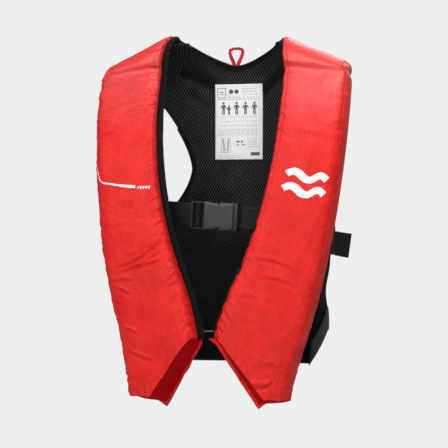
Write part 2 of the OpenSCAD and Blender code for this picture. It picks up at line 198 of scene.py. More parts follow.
def flat_uv(grid):
    """Texture coordinates in millimetres, measured over the cloth from its middle line."""
    across = lengths_along(grid, 1)
    middle = across[:, across.shape[1] // 2, None]
    return np.stack([across - middle, lengths_along(grid, 0)], axis=-1)


def grid_faces(rows, cols, start=0, loop=False):
    wide = cols if loop else cols - 1
    i, j = np.meshgrid(np.arange(rows - 1), np.arange(wide), indexing="ij")
    a = start + i * cols + j
    b = start + i * cols + (j + 1) % cols
    return np.stack([a, a + cols, b + cols, b], axis=-1).reshape(-1, 4)


def add_mesh(name, points, faces, material, uv=None, sign=1):
    """A mesh from points in millimetres; sign -1 mirrors it to the left side."""
    points = np.asarray(points, float).reshape(-1, 3) * MM
    points[:, 0] *= sign
    faces = [tuple(int(i) for i in face) for face in faces]
    if sign < 0:
        faces = [face[::-1] for face in faces]
    mesh = bpy.data.meshes.new(name)
    mesh.from_pydata(points.tolist(), [], faces)
    if uv is not None:
        layer = mesh.uv_layers.new(name="cloth")
        corners = np.array([i for face in faces for i in face])
        layer.data.foreach_set("uv", (np.asarray(uv, float).reshape(-1, 2) * MM)[corners].ravel())
    mesh.materials.append(material)
    mesh.shade_smooth()
    mesh.update()
    piece = bpy.data.objects.new(name, mesh)
    bpy.context.collection.objects.link(piece)
    return piece


def add_sheet(name, grid, material, sign=1):
    """An open surface over a point grid."""
    rows, cols = grid.shape[:2]
    return add_mesh(name, grid, grid_faces(rows, cols), material, flat_uv(grid), sign)


def add_slab(name, face, thickness, material, sign=1, uv=None):
    """A closed sheet: face is its outside, and its inside lies a thickness behind."""
    rows, cols = face.shape[:2]
    back = face - normals_of(face) * float(thickness)
    front = face.copy()
    middle = (front + back) / 2
    edge = np.zeros((rows, cols), bool)
    edge[[0, -1], :] = True
    edge[:, [0, -1]] = True
    for side in (front, back):
        side[edge] = mix(side[edge], middle[edge], 0.6)
    count = rows * cols
    outside = grid_faces(rows, cols)
    inside = outside[:, ::-1] + count
    rim = np.concatenate([
        np.arange(cols),
        np.arange(1, rows) * cols + cols - 1,
        (rows - 1) * cols + np.arange(cols - 2, -1, -1),
        np.arange(rows - 2, 0, -1) * cols,
    ])
    after = np.roll(rim, -1)
    wall = np.stack([rim, after, after + count, rim + count], axis=-1)
    uv = flat_uv(face) if uv is None else uv
    return add_mesh(
        name,
        np.concatenate([front.reshape(-1, 3), back.reshape(-1, 3)]),
        np.concatenate([outside, inside, wall]),
        material,
        np.concatenate([uv.reshape(-1, 2)] * 2),
        sign,
    )


def add_tube(name, rings, material, sign=1):
    """A closed solid through rings of points, with flat ends."""
    rows, cols = rings.shape[:2]
    walls = [tuple(f) for f in grid_faces(rows, cols, loop=True)]
    caps = [tuple(range(cols)), tuple((rows - 1) * cols + i for i in range(cols - 1, -1, -1))]
    around = np.linalg.norm(np.diff(rings, axis=1, append=rings[:, :1]), axis=-1)
    uv = np.stack([np.cumsum(around, axis=1) - around, lengths_along(rings, 0)], axis=-1)
    return add_mesh(name, rings, walls + caps, material, uv, sign)


def add_stitches(name, line, normal, material, sign=1, length=2.4, pitch=3.6, width=0.8):
    """A row of raised stitches along a line of points, on the side the normals face."""
    run = run_along(line)
    shares = np.array([0, 0.25, 0.75, 1])
    rises = np.array([-0.1, 0.5, 0.5, -0.1])
    sunk = 0.15
    points, faces = [], []
    for start in np.arange(pitch / 2, run[-1] - length, pitch):
        centre = walk(line, run, start + shares * length)
        up = walk(normal, run, start + shares * length)
        way = centre[-1] - centre[0]
        side = np.cross(up, way)
        side /= np.maximum(np.linalg.norm(side, axis=1, keepdims=True), 1e-9)
        crest = centre + up * rises[:, None]
        block = np.stack([
            centre + side * width / 2 - up * sunk,
            crest + side * width / 6,
            crest - side * width / 6,
            centre - side * width / 2 - up * sunk,
        ], axis=1)
        base = len(points) * 16
        points.append(block.reshape(-1, 3))
        faces.extend(grid_faces(4, 4, base).tolist())
    return add_mesh(name, np.concatenate(points), faces, material, sign=sign)


def stand_for(piece, slot, *nodes, body=None):
    """The piece takes the place of CAD nodes, which are hidden, and rides on a body. The slot is not
    used.
    """
    if nodes:
        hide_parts(*nodes)
    if body:
        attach(piece, body)


# ---------------------------------------------------------------- materials


class Look:
    """A node material whose patterns are laid out in millimetres of cloth."""

    def __init__(self, name, roughness, sheen=0.0, specular=0.4):
        self.material = bpy.data.materials.new(name)
        self.material.use_nodes = True
        self.tree = self.material.node_tree
        self.shader = self.tree.nodes["Principled BSDF"]
        self.shader.inputs["Roughness"].default_value = roughness
        self.shader.inputs["Sheen Weight"].default_value = sheen
        self.shader.inputs["Specular IOR Level"].default_value = specular
        self.height = None

    def node(self, kind, **values):
        node = self.tree.nodes.new(kind)
        for key, value in values.items():
            setattr(node, key, value)
        return node

    def feed(self, socket, value):
        if isinstance(value, bpy.types.NodeSocket):
            self.tree.links.new(value, socket)
        else:
            socket.default_value = value

    def math(self, operation, *values):
        node = self.node("ShaderNodeMath", operation=operation)
        for socket, value in zip(node.inputs, values):
            self.feed(socket, value)
        return node.outputs[0]

    def cloth(self):
        """Position across and along the cloth, in millimetres."""
        uv = self.node("ShaderNodeUVMap", uv_map="cloth")
        split = self.node("ShaderNodeSeparateXYZ")
        self.feed(split.inputs[0], uv.outputs["UV"])
        return [self.math("MULTIPLY", split.outputs[k], 1000.0) for k in (0, 1)]

    def object_mm(self):
        """Position in the part's frame, in millimetres."""
        place = self.node("ShaderNodeTexCoord").outputs["Object"]
        split = self.node("ShaderNodeSeparateXYZ")
        self.feed(split.inputs[0], place)
        return [self.math("MULTIPLY", split.outputs[k], 1000.0) for k in range(3)]

    def grain(self, size, detail=3.0, seed=0.0):
        """Soft noise from 0 to 1 with features of a size in millimetres."""
        place = self.node("ShaderNodeTexCoord").outputs["Object"]
        shift = self.node("ShaderNodeVectorMath", operation="ADD")
        self.feed(shift.inputs[0], place)
        shift.inputs[1].default_value = (seed, seed * 0.7, seed * 1.3)
        node = self.node("ShaderNodeTexNoise")
        self.feed(node.inputs["Vector"], shift.outputs[0])
        node.inputs["Scale"].default_value = 1000.0 / size
        node.inputs["Detail"].default_value = detail
        return node.outputs[0]

    def wave(self, value, pitch, phase=0.0):
        """A wave from 0 to 1 with a pitch in millimetres."""
        turn = self.math("MULTIPLY_ADD", value, math.tau / pitch, phase)
        return self.math("MULTIPLY_ADD", self.math("SINE", turn), 0.5, 0.5)

    def step(self, value, low, high):
        """0 below low, 1 above high, and smooth between."""
        node = self.node("ShaderNodeMapRange", interpolation_type="SMOOTHSTEP")
        self.feed(node.inputs["Value"], value)
        node.inputs["From Min"].default_value = low
        node.inputs["From Max"].default_value = high
        return node.outputs["Result"]

    def blend(self, share, first, second):
        node = self.node("ShaderNodeMix", data_type="RGBA")
        self.feed(node.inputs["Factor"], share)
        for socket, value in zip(node.inputs[6:8], (first, second)):
            self.feed(socket, value if isinstance(value, bpy.types.NodeSocket) else (*value, 1))
        return node.outputs[2]

    def color(self, value):
        self.feed(self.shader.inputs["Base Color"], value)

    def rough(self, low, high, share):
        self.feed(self.shader.inputs["Roughness"], self.math("MULTIPLY_ADD", share, high - low, low))

    def relief(self, height, depth, strength=1.0):
        """Adds a bump of a depth in millimetres."""
        node = self.node("ShaderNodeBump")
        node.inputs["Strength"].default_value = strength
        node.inputs["Distance"].default_value = depth * MM
        self.feed(node.inputs["Height"], height)
        if self.height is not None:
            self.tree.links.new(self.height, node.inputs["Normal"])
        self.height = node.outputs["Normal"]
        self.feed(self.shader.inputs["Normal"], self.height)


def tinted(base, share):
    return tuple(c * share for c in base)


def ripstop(name, base, dark, roughness=0.5, specular=0.24):
    """Matt ripstop nylon: a fine grid of thicker threads, rubbed shiny on the shoulders."""
    look = Look(name, roughness, specular=specular)
    across, along = look.cloth()
    pitch = 4.1
    threads = look.math("MAXIMUM", look.wave(across, pitch), look.wave(along, pitch))
    line = look.step(threads, 0.55, 0.98)
    patch = look.step(look.grain(34, 3.0, 3.0), 0.3, 0.7)
    tone = look.blend(patch, base, tinted(base, 0.86))
    shown = look.math("MULTIPLY", line, look.math("MULTIPLY_ADD", patch, 0.3, 0.7))
    look.color(look.blend(shown, tone, dark))
    look.rough(roughness - 0.08, roughness + 0.1, look.grain(12, 3.0, 1.0))
    rubbed = look.step(look.object_mm()[2], -170, -40)
    look.feed(look.shader.inputs["Specular IOR Level"], look.math("MULTIPLY_ADD", rubbed, 0.8, specular))
    look.relief(line, 0.2, 0.7)
    look.relief(look.grain(9, 4.0, 5.0), 0.5, 0.4)
    return look.material


def spacer_mesh(name, rib, hole, cell=(4.4, 8.0)):
    """Three-dimensional knitted mesh with diamond cells; below the waist its ribs carry painted shade,
    standing in for the lobes' shade, and above it random patches take the same darker tone.
    """
    look = Look(name, 0.75, sheen=0.05, specular=0.15)
    across, along = look.cloth()
    height = look.object_mm()[2]
    waves = [
        look.math("COSINE", look.math("MULTIPLY", value, math.tau / size))
        for value, size in zip((across, along), cell)
    ]
    from_rib = look.math("ABSOLUTE", look.math("ADD", *waves))
    open_cell = look.step(from_rib, 0.1, 0.6)
    # Painted shade: below the waist the ribs always take the darker tone, for the shade the lobes cast
    # there; above it only random patches do.
    shade_and_patch_rib = tinted(rib, 0.35)
    patch = look.step(look.grain(60, 2.0, 7.0), 0.1, 0.5)
    lit = look.math("MULTIPLY", look.step(height, -345, -255), patch)
    look.color(look.blend(open_cell, look.blend(lit, shade_and_patch_rib, rib), hole))
    look.relief(look.math("MULTIPLY", open_cell, -1.0), 1.1, 0.9)
    look.relief(look.grain(1.2, 2.0), 0.15, 0.5)
    return look.material


def woven(name, base, pitch=0.9, sheen=0.1, roughness=0.62):
    """Plain woven nylon."""
    look = Look(name, roughness, sheen=sheen, specular=0.05)
    across, along = look.cloth()
    weave = look.math("MULTIPLY", look.wave(across, pitch), look.wave(along, pitch))
    tone = look.blend(look.grain(40, 3.0, 2.0), base, tinted(base, 1.5))
    look.color(look.blend(weave, tone, tinted(base, 0.6)))
    look.relief(weave, 0.1, 0.6)
    look.relief(look.grain(6, 3.0, 4.0), 0.4, 0.3)
    return look.material


def webbing_look(name, base):
    """Webbing: ribs along the strap, crossed by fine weft lines and a thicker selvedge."""
    look = Look(name, 0.55, sheen=0.05, specular=0.2)
    across, along = look.cloth()
    ribs = look.wave(across, 1.9)
    weft = look.wave(along, 1.1, 0.7)
    weave = look.math("MULTIPLY", ribs, look.math("MULTIPLY_ADD", weft, 0.5, 0.5))
    tone = look.blend(look.grain(25, 3.0, 6.0), base, tinted(base, 1.35))
    look.color(look.blend(weave, tinted(base, 0.5), tone))
    look.relief(weave, 0.3, 0.7)
    return look.material


def ribbed(name, base):
    """Ribbed elastic: ribs run up and down the band."""
    look = Look(name, 0.75, sheen=0.05, specular=0.12)
    across, along = look.cloth()
    ribs = look.wave(across, 2.6)
    tone = look.blend(ribs, tinted(base, 0.35), base)
    look.color(look.blend(look.wave(along, 1.0), tone, tinted(base, 0.8)))
    look.relief(ribs, 0.8, 0.9)
    return look.material


def moulded(name, base, worn):
    """Moulded acetal with a fine spark-eroded grain, paler where it is rubbed."""
    look = Look(name, 0.42, specular=0.45)
    rub = look.step(look.node("ShaderNodeNewGeometry").outputs["Pointiness"], 0.52, 0.6)
    tone = look.blend(look.grain(14, 3.0, 8.0), base, tinted(base, 1.18))
    look.color(look.blend(look.math("MULTIPLY", rub, 0.5), tone, worn))
    look.rough(0.34, 0.5, look.grain(5, 2.0, 9.0))
    look.relief(look.grain(0.7, 2.0), 0.06, 0.6)
    return look.material


def printed(name, base):
    """Heat-pressed film: it takes the weave of the cloth below."""
    look = Look(name, 0.4, specular=0.4)
    look.color(look.blend(look.grain(3, 4.0, 2.5), base, tinted(base, 0.92)))
    look.relief(look.grain(2.2, 3.0), 0.2, 0.4)
    return look.material


def satin(name, base):
    """Label satin: fine lines across the tape and a faint mottling."""
    look = Look(name, 0.5, sheen=0.1, specular=0.35)
    x, _, z = look.object_mm()
    look.color(look.blend(look.grain(7, 4.0, 1.5), base, tinted(base, 0.9)))
    look.relief(look.math("ADD", look.wave(z, 0.9), look.wave(x, 1.3)), 0.08, 0.5)
    look.relief(look.grain(16, 3.0, 2.0), 2.2, 0.8)
    return look.material


def thread(name, base):
    """Twisted sewing thread."""
    look = Look(name, 0.5, sheen=0.2)
    x, y, z = look.object_mm()
    twist = look.wave(look.math("ADD", x, look.math("ADD", y, z)), 0.7)
    look.color(look.blend(twist, base, tinted(base, 0.7)))
    look.relief(twist, 0.1, 0.5)
    return look.material


def foam_look(name, base):
    """Closed-cell foam."""
    look = Look(name, 0.8, specular=0.2)
    look.color(look.blend(look.grain(4, 4.0), base, tinted(base, 0.85)))
    look.relief(look.grain(1.5, 2.0), 0.3, 0.7)
    return look.material


LOOKS = {
    "red": ripstop("ripstop_red", (1.0, 0.028, 0.019), (0.58, 0.008, 0.008)),
    # The gusset's darker red is painted shade: the same red ripstop as it looks in the shade under the
    # lobe's lower end.
    "gusset": ripstop("ripstop_red_gusset_painted_shade", (0.6, 0.001, 0.006), (0.36, 0.001, 0.003), 0.75, 0.04),
    "mesh": spacer_mesh("spacer_mesh_black", (0.085, 0.083, 0.095), (0.001, 0.001, 0.0015)),
    "liner": spacer_mesh("liner_mesh_black", (0.012, 0.012, 0.015), (0.002, 0.002, 0.003), (2.4, 3.4)),
    "binding": woven("binding_black", (0.005, 0.005, 0.006)),
    "wing": woven("wing_nylon_black", (0.0025, 0.0025, 0.0035), 1.1, 0.0, 0.7),
    "rib": ribbed("rib_elastic_black", (0.009, 0.009, 0.011)),
    "webbing": webbing_look("webbing_black", (0.008, 0.008, 0.009)),
    "plastic": moulded("buckle_grey", (0.034, 0.033, 0.038), (0.11, 0.11, 0.115)),
    "adjuster": moulded("adjuster_black", (0.005, 0.005, 0.0055), (0.03, 0.03, 0.03)),
    "label": satin("label_satin", (0.93, 0.94, 0.95)),
    "ink": printed("label_ink", (0.09, 0.09, 0.1)),
    "pale_ink": printed("label_pale_ink", (0.46, 0.47, 0.46)),
    "print": printed("print_white", (0.9, 0.9, 0.88)),
    "ribbon": woven("ribbon_red", (0.5, 0.015, 0.02), 1.2, 0.2, 0.5),
    "cord": woven("cord_grey", (0.42, 0.45, 0.44), 1.1, 0.2, 0.6),
    "thread_red": thread("thread_red", (0.62, 0.02, 0.016)),
    "thread_black": thread("thread_black", (0.03, 0.03, 0.034)),
    "foam": foam_look("foam_cream", (0.8, 0.74, 0.56)),
}


# ---------------------------------------------------------------- the lobes' form

SPAN_HALF = 201
NECK_HALF = 100
INNER_CORNER = np.array([8.0, -477.0])
TIP = np.array([71.0, -580.0])
OUTER_CORNER = np.array([125.0, -560.0])
TIP_SHARE = 0.55
LOBE_T = 50
LINER_T = 5.5
LOBE_FULL = LOBE_T + LINER_T
SWING_TOP = np.array([175.0, -16.0, -68.0])
SWING_LOW = np.array([140.0, -96.0, -510.0])
PAD_T = 10
PAD_BACK_Z = -104
PAD_FRONT_SHARE = 0.4
MESH_T = 5

# The torso form: half width at the waist and above the armholes, depth, shift and the
# height over which it turns in at the shoulder crest
BODY_HALF, BODY_OPEN = 164.0, 300.0
BODY_DEEP = 75
BODY_SHIFT = -12
CREST_H = 90


def inner_edge_x(z):
    return NECK_HALF - (NECK_HALF - INNER_CORNER[0]) * np.power(np.maximum(0, (-90 - z) / 387), 1.95)


def outer_edge_x(z):
    return SPAN_HALF - (SPAN_HALF - OUTER_CORNER[0]) * np.power(np.maximum(0, (-80 - z) / 480), 1.8)


def lobe_y(x, z, depth):
    """Depth of a layer of the lobe, `depth` back from its front face."""
    middle = -(75 * (1 - np.exp(z / 100)) - 0.17 * z)
    slope = 0.1 - 0.00035 * z
    thick = LOBE_FULL * (0.35 + 0.65 * (1 - np.exp(np.minimum(0, z) / 60)))
    return middle + slope * (x - inner_edge_x(z)) + (depth / LOBE_FULL - 0.5) * thick


def cut_z(x, y):
    """Height of the cut between pad and lobe, square to the swing line."""
    axis = SWING_LOW - SWING_TOP
    return SWING_TOP[2] - (axis[0] * (x - SWING_TOP[0]) + axis[1] * (y - SWING_TOP[1])) / axis[2]


def lower_edge(across, depth):
    rise = 1 - min(1, depth / LOBE_T)
    inner = INNER_CORNER + rise * np.array([8, 12])
    middle = TIP + rise * np.array([17, 13])
    outer = OUTER_CORNER + rise * np.array([3, 8])
    across = np.asarray(across, float)[..., None]
    first = mix(inner, middle, across / TIP_SHARE)
    last = mix(middle, outer, (across - TIP_SHARE) / (1 - TIP_SHARE))
    return np.where(across < TIP_SHARE, first, last)


def lobe_face(across, down, depth):
    """Points of the lobe at a depth, over arrays of across and down."""
    top_in = cut_z(NECK_HALF, lobe_y(NECK_HALF, SWING_TOP[2], depth))
    top_out = cut_z(SPAN_HALF, lobe_y(SPAN_HALF, SWING_TOP[2], depth))
    low_in, low_out = lower_edge(0.0, depth), lower_edge(1.0, depth)
    z_in, z_out = mix(top_in, low_in[1], down), mix(top_out, low_out[1], down)
    side_in = np.stack([mix(inner_edge_x(z_in), low_in[0], down**8), z_in], axis=-1)
    side_out = np.stack([mix(outer_edge_x(z_out), low_out[0], down**8), z_out], axis=-1)
    start = np.array([inner_edge_x(top_in), top_in])
    end = np.array([outer_edge_x(top_out), top_out])
    a, d = across[..., None], down[..., None]
    top = mix(start, end, a)
    flat = mix(side_in, side_out, a) + mix(top, lower_edge(across, depth), d) - mix(
        top, mix(low_in, low_out, a), d
    )
    x, z = flat[..., 0], flat[..., 1]
    return np.stack([x, lobe_y(x, z, depth), z], axis=-1)


def crest_z(x):
    return np.where(abs(x) > 90, -3 - 0.43 * (abs(x) - 90), -3 + 0.2 * (90 - abs(x)))


def torso_y(x, z):
    """Back surface of the torso form."""
    closing = mix(BODY_OPEN, BODY_HALF, (-120 - z) / 160)
    half = np.where(z > -120, BODY_OPEN, np.where(z < -280, BODY_HALF, closing))
    round_off = np.power(np.maximum(0.001, 1 - np.power(np.minimum(1, abs(x) / half), 2.5)), 0.4)
    waist = np.where(z < -250, 0.04 * (-250 - z), 0)
    below = np.clip((crest_z(x) - PAD_T - z) / CREST_H, 0, 1)
    return np.sqrt(1 - np.square(1 - below)) * (BODY_SHIFT + (BODY_DEEP - waist) * round_off)


def pad_face(across, over, outer):
    """Points of the shoulder pad's outer or inner face; over is 0 at the cut, 1 at the back."""
    widen = 1 - np.minimum(1, over / PAD_FRONT_SHARE)
    x = mix(NECK_HALF - 9, SPAN_HALF - 4, across) + widen * mix(9, 0, across)
    crest = crest_z(x) - (0 if outer else PAD_T)
    y_cut = lobe_y(x, SWING_TOP[2], 0 if outer else LOBE_FULL)
    z_cut = cut_z(x, y_cut)
    y_back = torso_y(x, PAD_BACK_Z) + MESH_T + 1 + (PAD_T if outer else 0)
    front_turn = np.pi / 2 * (1 - over / PAD_FRONT_SHARE)
    back_turn = np.pi / 2 * (over - PAD_FRONT_SHARE) / (1 - PAD_FRONT_SHARE)
    is_front = over < PAD_FRONT_SHARE
    y = np.where(is_front, y_cut * np.sin(front_turn), y_back * np.sin(back_turn))
    z = np.where(
        is_front,
        mix(z_cut, crest, np.cos(front_turn)),
        mix(crest, PAD_BACK_Z, 1 - np.cos(back_turn)),
    )
    return np.stack([x, y, z], axis=-1)


def soften_rows(grid, reach):
    """Rounds a grid along its length, and leaves its ends in place."""
    size = int(3 * reach)
    weights = bump(np.arange(-size, size + 1), reach * 1.4)
    weights /= weights.sum()
    long = np.pad(grid, ((size, size), (0, 0), (0, 0)), mode="reflect", reflect_type="odd")
    return sum(w * long[k : k + len(grid)] for k, w in enumerate(weights))


PAD_ROWS, LOBE_ROWS, BASE_COLS = 124, 300, 41
ROWS = PAD_ROWS + LOBE_ROWS
END_ROWS = 5
SHELL_ROWS = ROWS - END_ROWS
SECTION_COLS = 150
BOX_POWER = 5.0

# How each side lies: lift of the crest at the neck and at the shoulder, shift of the
# lower inner corner and of the lower outer corner as (outward, up), how far the end rim
# stands inward at its corner, and the start of its random pattern.
LIE = {
    "left": {"crest": (13, 6), "inner": (5, -5), "outer": (1, -13), "rim": -0.02, "seed": 11},
    "right": {"crest": (6, 9), "inner": (2, -4), "outer": (-7, -14), "rim": -0.10, "seed": 23},
}

# How far a pad's outer side moves in at its back end, and the share of a lobe's depth at
# which the seams of the front face lie
PAD_NARROWING = 20
SEAM_DEPTH = 0.16


def box_section(count, power):
    """Half of a rounded box, as evenly spaced across and depth shares."""
    angle = np.linspace(-np.pi / 2, np.pi / 2, 2001)
    across = 0.5 + 0.5 * np.sign(np.sin(angle)) * np.abs(np.sin(angle)) ** (2 / power)
    depth = 1 - np.maximum(0, np.cos(angle)) ** (2 / power)
    run = np.concatenate([[0], np.cumsum(np.hypot(np.diff(across) * 105, np.diff(depth) * 50))])
    even = np.linspace(0, run[-1], count)
    return np.interp(even, run, across), np.interp(even, run, depth)


ACROSS, DEPTH = box_section(SECTION_COLS, BOX_POWER)
FRONT_FACE = 1 - smooth((DEPTH[None, :] - 0.02) / 0.5)


def fold(x, z, start, end, width, height, sag=0.0):
    """A soft ridge with a valley below it, between two points on the front face."""
    share, off = from_line(x, z, start, end)
    inside = np.clip(share, 0, 1)
    off = off - sag * 4 * inside * (1 - inside)
    return height * fading(share) * (bump(off, width) - 0.9 * bump(off + 1.5 * width, width * 0.8))


# Folds of each lobe's front: start and end as (distance from the inner edge, height), then
# the ridge's width, its height and its sag.
FOLDS = {
    "left": [
        ((2, -312), (88, -364), 3.4, 3.2, -9),
        ((6, -330), (84, -372), 3.0, 2.6, -5),
        ((10, -346), (58, -360), 2.6, 2.4, -3),
        ((20, -322), (60, -345), 2.4, 1.8, -3),
        ((50, -380), (108, -384), 3.2, 1.8, 2),
        ((60, -402), (106, -392), 3.0, 1.5, 2),
        ((58, -150), (106, -166), 3.2, 1.6, 3),
        ((66, -132), (106, -138), 2.6, 1.3, 2),
        ((4, -112), (40, -122), 2.6, 1.4, 2),
        ((40, -230), (100, -268), 6.0, 1.3, 5),
        ((70, -460), (110, -455), 3.2, 1.8, 2),
        ((60, -502), (108, -490), 3.4, 2.2, 2),
        ((20, -520), (70, -548), 4.0, 1.8, 3),
    ],
    "right": [
        ((6, -345), (78, -372), 3.4, 1.5, 6),
        ((20, -372), (84, -396), 3.4, 1.3, 5),
        ((8, -400), (60, -416), 4.0, 0.8, 4),
        ((20, -150), (96, -168), 7.0, 1.0, 4),
        ((4, -496), (62, -532), 3.6, 4.0, -10),
        ((42, -528), (98, -530), 4.2, 3.2, -6),
        ((66, -500), (108, -512), 6.0, 1.7, 3),
        ((60, -548), (96, -560), 4.0, 3.0, -4),
    ],
}


def ridges(u, v, seed):
    """Sharp creases between smooth hollows, from 0 to 1."""
    return np.square(1 - np.abs(noise(u, v, seed)))


class Body:
    """A lobe and its shoulder pad as one padded form, with the right side's coordinates.

    Rows run from the pad's back, over the shoulder, to the lobe's lower end. Across is 0 at
    the inner side and 1 at the outer one. Depth is 0 at the front and 1 at the back plane.
    """

    def __init__(self, side):
        self.side = side
        self.sign = SIDES[side]
        self.lie = LIE[side]
        across = np.linspace(0, 1, BASE_COLS)
        over, a = np.meshgrid(np.linspace(1, 0, PAD_ROWS), across, indexing="ij")
        down, b = np.meshgrid(np.linspace(0, 1, LOBE_ROWS), across, indexing="ij")
        pad_out, pad_in = pad_face(a, over, True), pad_face(a, over, False)
        front = np.concatenate([pad_out, lobe_face(b, down, 0)])
        back = np.concatenate([mix(pad_out, pad_in, LOBE_T / LOBE_FULL), lobe_face(b, down, LOBE_T)])
        self.front = self.laid(soften_rows(front, 3), across, down)
        self.back = self.laid(soften_rows(back, 3), across, down)
        self.width = np.linalg.norm(self.back[:, -1] - self.back[:, 0], axis=-1)
        self.inner_limit = mix(0.5, 0.66, smooth((np.arange(ROWS) - 250) / 120))

    def laid(self, grid, across, down):
        """The grid as it lies on this side."""
        high = smooth((grid[..., 2] + 100) / 92)
        grid[..., 2] += high * mix(*self.lie["crest"], across[None, :])
        behind = smooth(1 - np.arange(ROWS) / (PAD_ROWS * (1 - PAD_FRONT_SHARE)))
        grid[..., 0] -= PAD_NARROWING * behind[:, None] * across[None, :] ** 2
        low = np.zeros(grid.shape[:2])
        low[PAD_ROWS:] = smooth((down - 0.78) / 0.22)
        for name, near in (("inner", 1 - smooth(across / 0.45)), ("outer", smooth((across - 0.5) / 0.5))):
            outward, up = self.lie[name]
            grid[..., 0] += low * near * outward
            grid[..., 2] += low * near * up
        return grid

    def point(self, row, across, depth):
        row, across, depth = np.broadcast_arrays(*map(np.asarray, (row, across, depth)))
        row = row.astype(float)
        inside = np.clip(across, 0, 1)
        col = inside * (BASE_COLS - 1)
        front, back = pick(self.front, row, col), pick(self.back, row, col)
        ends = np.stack([self.back[:, 0], self.back[:, -1]], axis=1)
        edge = pick(ends, row, np.ones_like(row)) - pick(ends, row, np.zeros_like(row))
        return mix(front, back, depth[..., None]) + edge * (across - inside)[..., None]

    def limit(self, row):
        """Depth at which the shell stops on the inner side and the liner takes over."""
        return np.interp(row, np.arange(ROWS), self.inner_limit)

    def section_depth(self, row):
        """Depth of the shell's section at each of its columns."""
        inner = 1 - smooth((ACROSS - 0.1) / 0.3)
        return DEPTH * mix(1, self.limit(row)[..., None], inner)

    def front_folds(self, base):
        """The named folds of the front face."""
        x = ACROSS[None, :] * self.width[:SHELL_ROWS, None]
        return [FRONT_FACE * fold(x, base[..., 2], *spec) for spec in FOLDS[self.side]]

    def slack(self, along, around):
        """Broad swells of the front, and the soft creases of all the cloth."""
        seed = self.lie["seed"]
        swell = 1.3 * noise(along / 62, around / 45, seed) * FRONT_FACE
        creases = 0.9 * (ridges(along / 26, around / 31, seed + 1) - 0.4)
        fine = 0.45 * (ridges((along + 0.5 * around) / 11, around / 17, seed + 6) - 0.4)
        return [swell, creases, fine]

    def seams(self, along, around):
        """Two sunk seams along the edges of the front face, with gathers beside them."""
        seed = self.lie["seed"]
        pucker = ridges(along / 6.5, around / 19, seed + 2) - 0.45
        gather = smooth(0.5 + 0.8 * noise(along / 46, around * 0, seed + 3))
        front_cols = (DEPTH < SEAM_DEPTH).nonzero()[0]
        made = []
        for corner in (front_cols[0], front_cols[-1]):
            off = around - around[:, corner, None]
            made += [bump(off, 10) * pucker * (0.9 + 2.2 * gather), -0.8 * bump(off, 1.6)]
        return made

    def side_creases(self, along, around):
        """Slanted creases of the side gussets, deeper in the lower half."""
        side_face = smooth((DEPTH[None, :] - 0.2) / 0.3)
        slant = ridges((along + around * 0.9) / 9, around / 30, self.lie["seed"] + 4) - 0.45
        low_end = smooth((along - 0.5 * along[-1]) / (0.3 * along[-1]))
        return side_face * slant * (0.6 + 1.8 * low_end)

    def yoke_seam(self, base):
        """The sunk seam that crosses the front just below the shoulder crest."""
        slope = 0.36 * np.maximum(0, base[..., 0] - NECK_HALF)
        seam_z = -14 - slope + self.lie["crest"][1]
        return -1.4 * bump(base[..., 2] - seam_z, 1.6) * (base[..., 1] < 0) * FRONT_FACE

    def end_gathers(self, along, around):
        """Gathers where the lower end is closed."""
        creases = ridges(around / 12, along / 30, self.lie["seed"] + 5) - 0.4
        return bump(along - along[-1], 18) * 2.2 * creases

    def relief(self, base, along, around):
        """How far the cloth stands out from the smooth form, in millimetres."""
        return sum([
            *self.front_folds(base),
            *self.slack(along, around),
            *self.seams(along, around),
            self.side_creases(along, around),
            self.yoke_seam(base),
            self.end_gathers(along, around),
        ])

    def make_shell(self):
        """Works out the shell's points and normals."""
        row = np.arange(SHELL_ROWS)
        depth = self.section_depth(row)
        rows, across = np.meshgrid(row, ACROSS, indexing="ij")
        self.base = self.point(rows, across, depth)
        along = lengths_along(self.base, 0)[:, SECTION_COLS // 2]
        along = np.broadcast_to(along[:, None], rows.shape)
        around = lengths_along(self.base, 1)
        thick = np.linalg.norm(self.front - self.back, axis=-1).mean(axis=1)[:SHELL_ROWS, None]
        relief = self.relief(self.base, along, around) * mix(0.55, 1, smooth(thick / 40))
        fade = smooth((1 - DEPTH) / 0.12)
        self.shell = self.base + normals_of(self.base) * (relief * fade)[..., None]
        self.normal = normals_of(self.shell)

    def on_shell(self, row, across, lift):
        """Points lifted off the shell's front, at fractional rows and shares across."""
        middle = (DEPTH < 0.6).nonzero()[0]
        col = np.interp(across, ACROSS[middle], middle)
        return pick(self.shell, row, col) + pick(self.normal, row, col) * lift

    def row_at(self, across, z):
        """The shell's row at each height on its front."""
        cols = np.rint(np.interp(across, ACROSS, np.arange(SECTION_COLS))).astype(int)
        heights = self.base[PAD_ROWS // 2 :, :, 2]
        found = [
            PAD_ROWS // 2 + np.interp(-height, -heights[:, col], np.arange(len(heights)))
            for height, col in zip(np.ravel(z), np.ravel(cols))
        ]
        return np.reshape(found, np.shape(z))


def pick(grid, row, col):
    """Values of a grid at fractional rows and columns."""
    row = np.clip(row, 0, grid.shape[0] - 1.001)
    col = np.clip(col, 0, grid.shape[1] - 1.001)
    i, j = row.astype(int), col.astype(int)
    fi, fj = row - i, col - j
    if grid.ndim == 3:
        fi, fj = fi[..., None], fj[..., None]
    return mix(mix(grid[i, j], grid[i, j + 1], fj), mix(grid[i + 1, j], grid[i + 1, j + 1], fj), fi)


# ---------------------------------------------------------------- lobe pieces


def bend_with_lobe(piece):
    """Bakes the piece's placement into its mesh."""
    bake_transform(piece)


def lobe_shell(body):
    piece = add_sheet(f"lobe_shell_{body.side}", body.shell, LOOKS["red"], body.sign)
    stand_for(piece, "shell_red", f"lobe_cover_{body.side}", f"shoulder_cover_{body.side}")
    return piece


